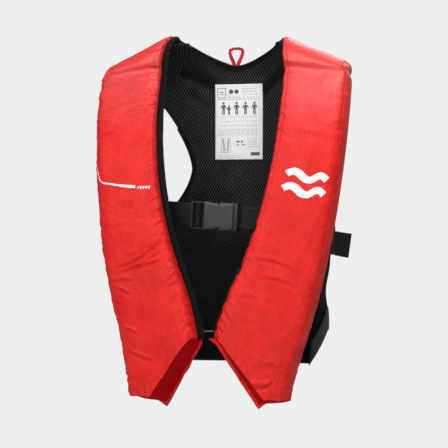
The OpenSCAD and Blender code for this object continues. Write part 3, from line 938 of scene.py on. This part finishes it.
def end_cap(body, name, look, row, sunk):
    """Closes the shell at its first or last row, back to the back plane."""
    edge = body.shell[row]
    share = np.linspace(0, 1, 26)[:, None]
    depth = mix(body.section_depth(np.array([float(row % SHELL_ROWS)])), 1.0, share)
    plain = body.point(np.full(depth.shape, float(row % SHELL_ROWS)), ACROSS[None, :], depth)
    grid = plain + (edge - plain[0])[None] * (1 - share[..., None])
    hollow = np.sin(np.pi * share) * np.sin(np.pi * ACROSS[None, :]) ** 0.5
    creases = ridges(share * 3 + 2 * ACROSS[None, :], ACROSS[None, :] * 8, body.lie["seed"] + 8)
    grid[..., 2] += sunk * hollow * (0.6 + 0.7 * creases)
    if row == 0:
        grid = grid[::-1]
    return add_sheet(name, grid, LOOKS[look], body.sign)


def lobe_gusset(body):
    """The wedge that closes the lower end, from the front edge back to the rim."""
    # The gusset look's darker red is painted shade.
    piece = end_cap(body, f"lobe_gusset_{body.side}", "gusset", -1, 4.0)
    stand_for(piece, "shell_red", f"lobe_gusset_{body.side}")
    return piece


def end_rim(body):
    """The stitched seam allowance that stands past the lower end, widest at the inner side."""
    count = 140
    share = np.linspace(0, 1, 9)[:, None]
    start = body.lie["rim"]
    across = np.linspace(0, 1, count)[None, :] + start * share * bump(np.arange(count), 9)[None, :]
    wide = mix(1.0, 0.25, smooth((np.linspace(0, 1, count) - 0.5) / 0.2))[None, :]
    row = ROWS - 1 - (END_ROWS + 3) * wide * (1 - share) - (1 - wide) * 7.5
    ripple = 0.05 * noise(np.linspace(0, 14, count), np.zeros(count), body.lie["seed"] + 9)[None, :]
    grid = body.point(row, across, 0.93 + ripple * share)
    piece = add_slab(f"lobe_rim_{body.side}", grid, 1.8, LOOKS["red"], body.sign)
    normal = normals_of(grid)
    stitches = add_stitches(
        f"rim_stitches_{body.side}", grid[5, 4:84], normal[5, 4:84], LOOKS["thread_red"], body.sign
    )
    return [piece, stitches]


# The liner's section as (across, depth, share of the shell's limit that is added to it)
LINER_SECTION = [
    (0.985, 1.0, 0), (0.5, 1.0, 0), (0.02, 1.0, 0), (0.012, 0.04, 1), (-0.012, -0.05, 1),
    (-0.040, 0.0, 1), (-0.050, 0.5, 0.5), (-0.045, 1.06, 0), (0.0, 1.13, 0), (0.5, 1.12, 0),
    (0.965, 1.12, 0), (0.99, 1.06, 0), (0.985, 1.0, 0),
]
LINER_END = 9


def lobe_liner(body):
    """The mesh behind the lobe and pad, which wraps round the inner side to the shell."""
    section = smooth_route(LINER_SECTION, 91)[:-1]
    rows = np.linspace(0, ROWS - 1 - LINER_END, 260)
    row = np.broadcast_to(rows[:, None], (len(rows), len(section)))
    spot = np.broadcast_to(np.arange(len(section)) / 5, row.shape)
    ripple = noise(row / 7, spot, body.lie["seed"] + 12)
    across = section[:, 0] + 0.006 * ripple
    depth = section[:, 1] + section[:, 2] * body.limit(rows)[:, None] + 0.012 * ripple
    rings = body.point(row, across, depth)
    piece = add_tube(f"lobe_liner_{body.side}", rings, LOOKS["liner"], body.sign)
    stand_for(piece, "mesh_black", f"lobe_liner_{body.side}")
    return piece


def foam_slabs(body):
    """The slabs inside the lobe and pad."""
    made = []
    layers = {
        f"foam_front_{body.side}": (0.08, 0.36, 0.17, PAD_ROWS + 6, SHELL_ROWS - 8),
        f"foam_middle_{body.side}": (0.37, 0.66, 0.05, PAD_ROWS + 6, SHELL_ROWS - 8),
        f"foam_back_{body.side}": (0.67, 0.96, 0.05, PAD_ROWS + 6, SHELL_ROWS - 8),
        f"shoulder_foam_{body.side}": (0.25, 0.75, 0.07, 6, PAD_ROWS - 4),
    }
    for node, (near, far, inset, first, last) in layers.items():
        row, across = spread((first, last, 40), (inset, 1 - inset, 12))
        front, back = body.point(row, across, near), body.point(row, across, far)
        thick = 0.9 * np.linalg.norm(front - back, axis=-1).min()
        piece = add_slab(f"{node}_slab", front, thick, LOOKS["foam"], body.sign)
        stand_for(piece, "foam", node)
        made.append(piece)
    return made


def strip_on(body, path, widths, lift):
    """A print along a path of (across, height) points, as a grid on the shell."""
    across_mm = 100.0
    flat = np.asarray(path, float) * [across_mm, 1]
    run = run_along(flat)
    even = np.linspace(0, run[-1], max(4, int(run[-1] / 1.2)))
    centre = walk(flat, run, even)
    way = np.gradient(centre, axis=0)
    way /= np.linalg.norm(way, axis=1, keepdims=True)
    side = np.stack([-way[:, 1], way[:, 0]], axis=-1)
    half = np.interp(even, run, widths)[:, None] / 2
    lines = [centre + side * half * k for k in (-1, -0.5, 0, 0.5, 1)]
    spots = np.stack(lines, axis=0)
    across, z = spots[..., 0] / across_mm, spots[..., 1]
    return body.on_shell(body.row_at(across, z), across, lift)


def joined_grids(name, grids, material, sign):
    points, faces, uvs, count = [], [], [], 0
    for grid in grids:
        rows, cols = grid.shape[:2]
        points.append(grid.reshape(-1, 3))
        uvs.append(flat_uv(grid).reshape(-1, 2))
        quads = grid_faces(rows, cols, count)
        a, b, c = (grid.reshape(-1, 3)[quads[0][k] - count] for k in (0, 1, 2))
        faces.extend(quads if np.cross(b - a, c - b)[1] < 0 else quads[:, ::-1])
        count += rows * cols
    return add_mesh(name, np.concatenate(points), faces, material, np.concatenate(uvs), sign)


PRINT_LIFT = 0.45


def stripe(body):
    """A bent line and five slanted dashes across the left lobe."""
    line = strip_on(
        body,
        [(0.95, -203), (0.905, -222), (0.88, -229), (0.83, -233), (0.55, -237), (0.28, -240)],
        [1.7, 1.9, 2.1, 2.4, 3.2, 4.4],
        PRINT_LIFT,
    )
    dashes = []
    for index in range(5):
        start = 0.245 - 0.036 * index
        dashes.append(
            strip_on(body, [(start, -242.8), (start - 0.024, -238.8)], [1.8, 1.8], PRINT_LIFT)
        )
    piece = joined_grids("stripe_print_left", [line, *dashes], LOOKS["print"], body.sign)
    stand_for(piece, "print_white", "stripe_left")
    return piece


def emblem(body):
    """Two bold waves across the right lobe."""
    waves = []
    for level in (0, 1):
        share = np.linspace(0, 1, 60)
        across = mix(0.24, 0.83, share) - 0.02 * level
        height = -221 - 22 * level - 10.5 * share + 5.0 * np.sin(share * 3 * np.pi)
        waves.append(strip_on(body, np.stack([across, height], axis=-1), np.full(60, 10.5), PRINT_LIFT))
    piece = joined_grids("emblem_print_right", waves, LOOKS["print"], body.sign)
    stand_for(piece, "print_white", "emblem_right")
    return piece


def make_lobe(side):
    """One lobe with its shoulder pad: shell, end pieces, liner, print and foam."""
    body = Body(side)
    body.make_shell()
    pieces = [
        lobe_shell(body),
        lobe_gusset(body),
        end_cap(body, f"pad_end_{side}", "red", 0, -0.5),
        lobe_liner(body),
        stripe(body) if side == "left" else emblem(body),
        *end_rim(body),
        *foam_slabs(body),
    ]
    for piece in pieces:
        bend_with_lobe(piece)
    return body


# ---------------------------------------------------------------- back panel

BACK_NARROW = 76
SHOULDER_X = 190
NARROW_Z = -205
SEAM_X = 120
SEAM_TOP_Z = -286
HEM_TOP_Z = -474
HEM_LOW_Z = -522


def back_half(z):
    upper = BACK_NARROW + 114 * np.power(np.maximum(0, (z - NARROW_Z) / 173), 1.55)
    lower = BACK_NARROW + (SEAM_X - BACK_NARROW) * np.power(
        np.maximum(0, (NARROW_Z - z) / (NARROW_Z - SEAM_TOP_Z)), 1.6
    )
    return np.where(z > NARROW_Z, np.minimum(SHOULDER_X, upper), np.minimum(SEAM_X, lower))


def back_top_z(x):
    rise = (np.hypot(np.minimum(90, abs(x)), 12) - 12) / (math.hypot(90, 12) - 12)
    neck = -39 + np.where(x > 0, 38, 44) * np.power(rise, 1.15)
    under_pad = crest_z(x) - PAD_T - 3
    return mix(neck, under_pad, smooth((abs(x) - 94) / 8))


def back_point(across, down, lift=0.0):
    z = mix(back_top_z(across * 186), HEM_TOP_Z + 0.5, down**1.6)
    x = across * back_half(z)
    return np.stack([x, torso_y(x, z) + lift, z], axis=-1)


# Creases of the back panel: start and end as (x, z), width and depth
BACK_CREASES = [
    ((-104, -34), (-28, -84), 12, 16.0),
    ((-90, -78), (-40, -112), 9, 6.0),
    ((92, -40), (36, -92), 10, 12.0),
    ((64, -40), (22, -62), 7, 3.0),
    ((-70, -150), (-52, -210), 8, 2.5),
    ((70, -170), (52, -240), 8, 2.0),
    ((-110, -330), (-30, -352), 10, 3.0),
    ((20, -345), (110, -372), 10, 3.0),
    ((-90, -400), (-10, -418), 9, 2.5),
    ((30, -410), (100, -438), 9, 2.0),
]


def crease(x, z, start, end, width, depth):
    """A hollow between two points of the back panel."""
    share, off = from_line(x, z, start, end)
    return depth * bump(off, width) * fading(share)


def back_surface(rows, cols):
    down, across = spread((0, 1, rows), (-1, 1, cols))
    grid = back_point(across, down)
    x, z = grid[..., 0], grid[..., 2]
    relief = sum(crease(x, z, *spec) for spec in BACK_CREASES)
    relief = relief + 1.3 * noise(x / 52, z / 61, 31) + 0.5 * noise(x / 19, z / 23, 32)
    inside = smooth((1 - abs(across)) / 0.1) * smooth(down / 0.04)
    grid[..., 1] += relief * inside
    return grid


def make_back():
    """The mesh panel with its bindings, label, hem and hanging loop."""
    grid = back_surface(190, 150)
    panel = add_slab("back_panel_mesh", grid, MESH_T, LOOKS["mesh"], uv=grid[..., [0, 2]])
    stand_for(panel, "mesh_black", "back_panel", body="harness")
    make_neck_binding()
    for side, sign in SIDES.items():
        make_armhole_binding(side, sign)
    make_label()
    make_hem()
    make_loop()


def edge_tape(name, edge, inward, outward, wall, reach, material, sign=1):
    """A folded tape over an edge: edge points, a direction into the cloth, and one through it."""
    angle = np.linspace(-np.pi / 2, np.pi / 2, 9)
    profile = [(reach, -wall)] + [(-wall * 0.5 * math.cos(a), wall * math.sin(a)) for a in angle]
    profile += [(reach, wall)]
    rows = [edge + inward * a + outward * b for a, b in profile]
    return add_slab(name, np.stack(rows, axis=0), 0.8, material, sign)


def make_neck_binding():
    """Tape over the neck edge, with its row of stitches."""
    across = np.linspace(-0.488, 0.488, 110)
    edge = back_point(across, np.zeros_like(across))
    edge[:, 1] += MESH_T / 2
    down = back_point(across, np.full_like(across, 0.1)) - back_point(across, np.zeros_like(across))
    down /= np.linalg.norm(down, axis=1, keepdims=True)
    outward = np.zeros_like(edge)
    outward[:, 1] = 1
    tape = edge_tape("neck_tape", edge, down, outward, MESH_T / 2 + 0.9, 7.5, LOOKS["binding"])
    stand_for(tape, "binding_black", "neck_binding", body="harness")
    line = edge + down * 6.6
    line[:, 1] -= MESH_T / 2 + 1.1
    stitches = add_stitches("neck_stitches", line, -outward, LOOKS["thread_black"])
    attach(stitches, "harness")


def make_armhole_binding(side, sign):
    down = np.linspace(0.36, 0.73, 120)
    edge = back_point(np.ones_like(down), down)
    edge[:, 1] += MESH_T / 2
    inward = back_point(np.full_like(down, 0.9), down) - back_point(np.ones_like(down), down)
    inward /= np.linalg.norm(inward, axis=1, keepdims=True)
    outward = np.zeros_like(edge)
    outward[:, 1] = 1
    tape = edge_tape(
        f"armhole_tape_{side}", edge, inward, outward, MESH_T / 2 + 0.9, 6.5, LOOKS["binding"], sign
    )
    stand_for(tape, "binding_black", f"armhole_binding_{side}", body="harness")


# ---------------------------------------------------------------- label

LABEL_X, LABEL_TOP = 2.0, -67.0
LABEL_W, LABEL_H = 80.0, 124.0


def on_label(x, down, lift):
    """A point on the label's front, x from its left edge and down from its top."""
    x, down = np.broadcast_arrays(np.asarray(x, float), np.asarray(down, float))
    place = LABEL_X - LABEL_W / 2 + x
    z = LABEL_TOP - down
    ripple = 0.5 * noise(x / 24, down / 31, 41) + 0.8 * np.sin(down / 40)
    return np.stack([place, torso_y(place, z) - 2.2 - lift + ripple, z], axis=-1)


def label_patch(x, down, wide, high, slant=0.0):
    """A printed rectangle; slant shifts its lower edge sideways."""
    d, a = spread((0, 1, 3), (0, 1, 3))
    return on_label(x + a * wide + d * slant, down + d * high, 0.5)


def label_disc(x, down, radius):
    ring, angle = spread((0.02, 1, 3), (0, 2 * np.pi, 13))
    return on_label(x + radius * ring * np.cos(angle), down - radius * ring * np.sin(angle), 0.5)


def label_frame(x, down, wide, high, line=0.7):
    return [
        label_patch(x, down, wide, line),
        label_patch(x, down + high - line, wide, line),
        label_patch(x, down, line, high),
        label_patch(x + wide - line, down, line, high),
    ]


def figure(x, down, size):
    """A plain figure: head, arms, body and legs."""
    return [
        label_disc(x, down + 0.09 * size, 0.09 * size),
        label_patch(x - 0.1 * size, down + 0.22 * size, 0.2 * size, 0.36 * size),
        label_patch(x - 0.13 * size, down + 0.22 * size, 0.08 * size, 0.26 * size, -0.13 * size),
        label_patch(x + 0.05 * size, down + 0.22 * size, 0.08 * size, 0.26 * size, 0.13 * size),
        label_patch(x - 0.1 * size, down + 0.58 * size, 0.085 * size, 0.4 * size),
        label_patch(x + 0.015 * size, down + 0.58 * size, 0.085 * size, 0.4 * size),
    ]


def label_rows(x, start, wide, count, pitch, seed):
    """Rows of short bars, which stand for printed lines."""
    rng = np.random.default_rng(seed)
    made = []
    for row in range(count):
        place = x
        while place < x + wide - 3:
            bar = min(rng.uniform(2.0, 7.0), x + wide - place)
            made.append(label_patch(place, start + row * pitch, bar, 0.8))
            place += bar + rng.uniform(1.2, 3.0)
    return made


def make_label():
    """The care label: plain figures, frames and bars stand for its print."""
    down, x = spread((0, LABEL_H, 60), (0, LABEL_W, 40))
    tag = add_slab("label_tag", on_label(x, down, 0.25), 0.6, LOOKS["label"])
    stand_for(tag, "label_white", "label")
    dark = label_frame(4, 6, 14, 16)
    dark += [label_patch(7, 12, 6, 1.2, 1.5), label_patch(9, 16, 6, 1.0, -1.0)]
    dark += [label_disc(27, 12, 3.6), label_disc(36, 12, 3.6)]
    for place, size in ((14, 21), (23, 16), (36, 21), (51, 21), (66, 21)):
        dark += figure(place, 29 + (21 - size), size)
    dark += [label_patch(36, 93, 5, 2.6), label_disc(45, 94.3, 1.8), label_patch(36, 99, 4, 1.4)]
    dark += [label_patch(44, 99, 6, 1.4), label_patch(60, 112, 15, 5.5)]
    pale = label_rows(22, 19, 20, 2, 2.2, 1) + label_rows(46, 7, 26, 4, 4.6, 2)
    pale += label_rows(8, 53, 66, 3, 7.2, 3) + label_rows(5, 74, 68, 4, 3.0, 4)
    pale += label_rows(54, 90, 20, 4, 4.2, 5) + label_rows(6, 117, 44, 2, 2.4, 6)
    pale += label_frame(4, 24, 72, 0.8, 0.5) + label_frame(10, 88, 16, 24, 0.7)
    pale += [label_patch(12, 90, 3, 20, 2), label_patch(21, 90, 3, 20, -2)]
    prints = [
        joined_grids("label_print_dark", dark, LOOKS["ink"], 1),
        joined_grids("label_print_pale", pale, LOOKS["pale_ink"], 1),
    ]
    side = np.linspace(1.6, LABEL_H - 1.6, 80)
    wide = np.linspace(1.6, LABEL_W - 1.6, 60)
    toward = np.array([0.0, -1.0, 0.0])
    for index, line in enumerate((
        on_label(1.6, side, 0.3),
        on_label(LABEL_W - 1.6, side, 0.3),
        on_label(wide, 1.6, 0.3),
        on_label(wide, LABEL_H - 1.6, 0.3),
    )):
        normal = np.broadcast_to(toward, line.shape)
        prints.append(add_stitches(f"label_stitches_{index}", line, normal, LOOKS["label"]))
    for piece in (tag, *prints):
        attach(piece, "harness")


# ---------------------------------------------------------------- hem, wings and straps


def make_hem():
    """The ribbed band below the back panel, with a cord sewn along its top."""
    z, x = spread((HEM_TOP_Z + 1.5, HEM_LOW_Z, 24), (-SEAM_X, SEAM_X, 480))
    ribs = 0.35 * np.sin(x / 3.4 * math.tau)
    curl = 1.2 * smooth((HEM_LOW_Z + 6 - z) / 6) + 0.8 * noise(x / 40, z * 0, 51)
    face = np.stack([x, torso_y(x, z) - 0.6 + curl + ribs, z + 0.8 * noise(x / 55, z * 0, 52)], axis=-1)
    band = add_slab("hem_rib", face, 3.6, LOOKS["rib"])
    stand_for(band, "rib_black", "hem_band", body="harness")
    x = np.linspace(-100, 100, 160)
    twist = 0.3 * np.sin(x / 3)
    y = torso_y(x, np.full_like(x, HEM_TOP_Z)) - 2.4 + twist
    z = HEM_TOP_Z + 0.9 + 0.8 * noise(x / 30, x * 0, 53)
    centre = np.stack([x, y, z], axis=-1)
    cord = add_tube("hem_piping", tube_rings(centre, 0.95), LOOKS["cord"])
    stand_for(cord, "cord_grey", "hem_cord", body="harness")


def swing_at(z):
    return mix(SWING_TOP, SWING_LOW, ((z - SWING_TOP[2]) / (SWING_LOW[2] - SWING_TOP[2]))[..., None])


def waist_point(along, z, lift):
    """Outside of the torso at the waist: along is 0 at the back seam and 1 at the lobe."""
    half = BODY_HALF - 0.05 * (-300 - z) + lift
    deep = BODY_DEEP - 0.04 * (-250 - z) + lift
    seam_angle = math.asin((SEAM_X / BODY_HALF) ** 1.25) + math.radians(1)
    angle = mix(seam_angle, np.pi / 2, np.minimum(1, 2 * along))
    back_x = half * np.power(np.sin(angle), 0.8)
    back_y = BODY_SHIFT + deep * np.power(np.maximum(0, np.cos(angle)), 0.8)
    front = swing_at(z)
    front_x, front_y = front[..., 0] + lift, front[..., 1] + 12
    share = np.maximum(0, 2 * along - 1)
    turn_y = mix(BODY_SHIFT, front_y, 0.5)
    bend_x = mix(mix(half, half, share), mix(half, front_x, share), share)
    bend_y = mix(mix(BODY_SHIFT, turn_y, share), mix(turn_y, front_y, share), share)
    x = np.where(along < 0.5, back_x, bend_x)
    y = np.where(along < 0.5, back_y, bend_y)
    return np.stack([x, y, z], axis=-1)


WING_T = 4


def wing_low_z(along):
    """Lower edge of the wing: it lifts at the side and drops towards the lobe."""
    front = np.maximum(0, 2 * along - 1)
    return mix(HEM_TOP_Z, -464, smooth(2 * along)) - 46 * front**1.3


def waist_pinch(along, z):
    """How far the slack wing falls in above the lower strap."""
    return 7 * bump(z + 402, 30) * np.sin(np.pi * along)


def wing_relief(grid, seed):
    """Soft slack folds that run down and forwards over a wing."""
    run = lengths_along(grid, 1)
    z = grid[..., 2]
    return 1.6 * noise((run + 0.4 * z) / 26, z / 80, seed) + 0.6 * noise(run / 11, z / 34, seed + 1)


def make_wing(side, sign):
    """The slack side panel between the back's seam and the lobe."""
    share, along = spread((0, 1, 90), (0, 1, 130))
    z_top = mix(SEAM_TOP_Z, -295, smooth(2 * along)) + 27 * smooth(2 * along - 1)
    z_low = wing_low_z(along)
    z = mix(z_top, z_low, share)
    grid = waist_point(along, z, WING_T)
    normal = normals_of(grid)
    fade = smooth(share * 8) * smooth((1 - share) * 8) * smooth(along * 8) * smooth((1 - along) * 8)
    grid = grid + normal * (wing_relief(grid, 61) * fade)[..., None]
    grid[..., 0] -= waist_pinch(along, z)
    facing = 1 if normal[45, 60, 0] > 0 else -1
    wing = add_slab(f"side_wing_{side}", grid, WING_T * facing, LOOKS["wing"], sign)
    stand_for(wing, "wing_black", f"side_wing_{side}", body="harness")


def make_wing_join(body):
    """Cloth between a wing's front edge and the back of its lobe."""
    z, share = spread((-272, -508, 84), (0, 1, 20))
    start = waist_point(np.full_like(z, 0.98), z, WING_T / 2)
    heights = body.back[PAD_ROWS:, BASE_COLS // 2, 2]
    row = np.interp(-z[:, 0], -heights, PAD_ROWS + np.arange(LOBE_ROWS))
    end = body.point(row, 0.8, 1.06)
    grid = mix(start, end[:, None, :], share[..., None])
    grid[..., 1] += 5 * np.sin(np.pi * share)
    piece = add_slab(f"wing_join_{body.side}", grid, 1.6, LOOKS["wing"], body.sign)
    stand_for(piece, "wing_black")
    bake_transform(piece)


def make_lower_strap(side, sign):
    """Webbing along the lower edge of a wing."""
    share, along = spread((0, 1, 14), (0.12, 1.03, 110))
    z = wing_low_z(along) + 38 * (1 - share)
    grid = waist_point(along, z, WING_T + 2.4)
    grid[..., 0] -= waist_pinch(along, z)
    normal = normals_of(grid)
    facing = 1 if normal[7, 60, 0] > 0 else -1
    piece = add_slab(f"lower_strap_{side}", grid, 1.6 * facing, LOOKS["webbing"], sign)
    stand_for(piece, "webbing_black", f"lower_strap_{side}", body="harness")


# ---------------------------------------------------------------- belt

BELT_AT = np.array([0.0, -67.0, -285.0])
BELT_SLOPE = math.radians(3.5)


def on_belt(points):
    """Places points given along, through and up the belt."""
    x, y, z = np.moveaxis(np.asarray(points, float), -1, 0)
    turned = np.stack(
        [
            x * math.cos(BELT_SLOPE) + z * math.sin(BELT_SLOPE),
            y,
            -x * math.sin(BELT_SLOPE) + z * math.cos(BELT_SLOPE),
        ],
        axis=-1,
    )
    return turned + BELT_AT


def smooth_route(route, count, rounds=3):
    """A line through a few points, with its corners cut a number of times."""
    route = np.asarray(route, float)
    for _ in range(rounds):
        cut = [route[0]]
        for a, b in zip(route[:-1], route[1:]):
            cut += [mix(a, b, 0.25), mix(a, b, 0.75)]
        route = np.array(cut + [route[-1]])
    run = run_along(route)
    return walk(route, run, np.linspace(0, run[-1], count))


WEBBING_W, WEBBING_T = 38, 1.6


def strap(name, route, body, node, count=120):
    """Webbing along a route of (along, through) points in the belt's frame."""
    line = smooth_route(route, count)
    high = np.linspace(WEBBING_W / 2, -WEBBING_W / 2, 15)
    x = np.broadcast_to(line[:, 0], (len(high), count))
    y = np.broadcast_to(line[:, 1], (len(high), count))
    z = np.broadcast_to(high[:, None], (len(high), count))
    grid = on_belt(np.stack([x, y, z], axis=-1))
    grid = grid + normals_of(grid) * WEBBING_T / 2
    uv_turned = np.swapaxes(grid, 0, 1)[:, ::-1]
    piece = add_slab(name, uv_turned, WEBBING_T, LOOKS["webbing"])
    stand_for(piece, "webbing_black", node, body=body)


def box_stitches(name, left, right, y, body):
    """A stitched box with a cross where webbing is doubled."""
    half = WEBBING_W / 2 - 4
    box = [(left, half), (right, half), (right, -half), (left, -half)]
    corners = box + [(left, half), (right, -half)]
    line = np.concatenate([
        np.linspace(a, b, 20) for a, b in zip(corners[:-1], corners[1:])
    ])
    points = on_belt(np.stack([line[:, 0], np.full(len(line), y), line[:, 1]], axis=-1))
    normal = np.broadcast_to(np.array([0.0, -1.0, 0.0]), points.shape)
    piece = add_stitches(name, points, normal, LOOKS["thread_black"])
    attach(piece, body)


def cad_node(name, look, width, segments=3):
    """Keeps a CAD node, with welded, rounded edges and a moulded look."""
    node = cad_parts[name]
    node.data.materials.clear()
    node.data.materials.append(LOOKS[look])
    weld = node.modifiers.new("weld", "WELD")
    weld.merge_threshold = 1e-5
    rounding = node.modifiers.new("rounding", "BEVEL")
    rounding.width = width * MM
    rounding.segments = segments
    rounding.limit_method = "ANGLE"
    rounding.angle_limit = math.radians(40)
    node.data.shade_smooth()


def socket_face():
    """The flat front of the socket, cut away at the thumb windows."""
    left, right, half, window = -20.4, 21.2, 20.6, 7.0
    share, x = spread((-1, 1, 40), (left, right, 90))
    cut = np.zeros_like(x)
    for centre, end in ((2.5, 1), (-0.5, -1)):
        arc = np.sqrt(np.maximum(0, window**2 - np.square(x - centre))) * 0.5
        cut = np.where(share * end < 0, arc, cut)
    corner = 3.0 * smooth((x - right + 7) / 7) * (share > 0)
    z = -share * (half - cut - corner)
    dome = 0.5 * smooth((half - abs(z)) / 5) * smooth((x - left) / 4) * smooth((right - x) / 4)
    grid = on_belt(np.stack([x, -6.2 - dome, z], axis=-1))
    face = add_slab("buckle_face", grid, 1.1, LOOKS["plastic"])
    stand_for(face, "buckle_grey", body="harness")


def make_belt():
    """The waist belt's webbing, and its buckle, keeper and side adjusters."""
    socket_face()
    round_bar = [[16, -3.6], [15.4, 0], [17, 3.4], [60, 3.4], [120, 5], [148, 10]]
    over_keeper = [[-29, 3.0], [-34, -3.0], [-38, -3.0], [-43, 3.2], [-60, 3.4], [-84, 3.4]]
    behind = [[-56, 5.8], [-110, 6], [-130, 7], [-148, 12]]
    strap("belt_strap_right", round_bar, "harness", "belt_right")
    strap("belt_strap_left", over_keeper, "plug", "belt_left")
    strap("belt_strap_side_left", behind, "harness", "belt_side_left")
    box_stitches("belt_stitches_right", 34, 58, 2.5, "harness")
    cad_node("buckle_socket", "plastic", 0.9)
    for name in ("buckle_plug", "latch_upper", "latch_lower", "belt_keeper"):
        cad_node(name, "adjuster", 0.8)
    for side in SIDES:
        cad_node(f"side_adjuster_{side}", "adjuster", 0.8)


def make_tail(side, sign):
    """The doubled end of webbing that stands out past a side adjuster."""
    high = np.linspace(-WEBBING_W / 2, WEBBING_W / 2, 20)
    out, up = np.meshgrid(np.linspace(0, 1, 40), high, indexing="ij")
    turn = math.radians(24)
    start = np.array([173.2, -22.0])
    reach = 25.5 * out
    bend = 1.5 * np.sin(np.pi * out)
    droop = 0.16 * reach
    x = start[0] + reach * math.cos(turn) - bend * math.sin(turn) + 0.14 * up * out
    y = start[1] + reach * math.sin(turn) + bend * math.cos(turn)
    grid = np.stack([x, y - 1.2, -327 + up - droop], axis=-1)[:, ::-1]
    piece = add_slab(f"webbing_tail_{side}", grid, 2.4, LOOKS["webbing"], sign)
    stand_for(piece, "webbing_black", f"tail_{side}", body=f"tail_{side}")
    line = grid[30, 1:-1]
    normal = normals_of(grid)[30, 1:-1]
    stitches = add_stitches(f"tail_stitches_{side}", line, normal, LOOKS["thread_black"], sign)
    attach(stitches, f"tail_{side}")


# ---------------------------------------------------------------- hanging loop


def make_loop():
    """The ribbon loop that the jacket hangs from."""
    base_z = -38.0
    corners = [(-3.2, 0), (-4, 5), (-11.5, 21), (-10, 29.5), (10, 29.5), (11.5, 21), (4, 5), (3.2, 0)]
    route = smooth_route(corners, 90, 1)
    way = np.gradient(route, axis=0)
    way /= np.linalg.norm(way, axis=1, keepdims=True)
    side = np.stack([-way[:, 1], way[:, 0]], axis=-1)
    share = np.linspace(0, 1, 90)
    columns = []
    wide = 1 - 0.3 * np.sin(share * np.pi)[:, None] ** 3
    for off in np.linspace(-3.2, 3.2, 7):
        spot = route + side * off * wide
        y = 58.2 + 1.6 * np.cos(share * np.pi) + 0.25 * off * np.sin(share * math.tau)
        columns.append(np.stack([spot[:, 0] - 2, y, base_z + spot[:, 1]], axis=-1))
    grid = np.stack(columns, axis=1)
    loop = add_slab("loop_ribbon", grid, 1.2, LOOKS["ribbon"])
    stand_for(loop, "ribbon_red", "hang_loop", body="loop")


# ---------------------------------------------------------------- backdrop


def make_backdrop():
    """A round pale floor that curves up into a wall on every side."""
    floor_z, wall, bend = -0.95, 4.5, 1.5
    profile = [(0.01, floor_z)]
    for angle in np.linspace(0, math.pi / 2, 16):
        profile.append((wall - bend + bend * math.sin(angle), floor_z + bend - bend * math.cos(angle)))
    profile.append((wall, 3.0))
    turns = np.linspace(0, 2 * math.pi, 97)
    grid = np.array([[(r * math.cos(t), r * math.sin(t), z) for t in turns] for r, z in profile]) / MM
    material = bpy.data.materials.new("backdrop_pale")
    material.use_nodes = True
    tree = material.node_tree
    tree.nodes.clear()
    paper = tree.nodes.new("ShaderNodeEmission")
    paper.inputs["Color"].default_value = (0.855, 0.855, 0.855, 1)
    matt = tree.nodes.new("ShaderNodeBsdfDiffuse")
    matt.inputs["Color"].default_value = (0.6, 0.6, 0.6, 1)
    seen = tree.nodes.new("ShaderNodeLightPath")
    choice = tree.nodes.new("ShaderNodeMixShader")
    output = tree.nodes.new("ShaderNodeOutputMaterial")
    tree.links.new(seen.outputs["Is Camera Ray"], choice.inputs[0])
    tree.links.new(matt.outputs[0], choice.inputs[1])
    tree.links.new(paper.outputs[0], choice.inputs[2])
    tree.links.new(choice.outputs[0], output.inputs[0])
    add_sheet("backdrop", grid, material)


# ---------------------------------------------------------------- the whole jacket

make_camera()
make_light()
make_backdrop()
make_back()
for side, sign in SIDES.items():
    make_wing_join(make_lobe(side))
    make_wing(side, sign)
    make_lower_strap(side, sign)
    make_tail(side, sign)
make_belt()
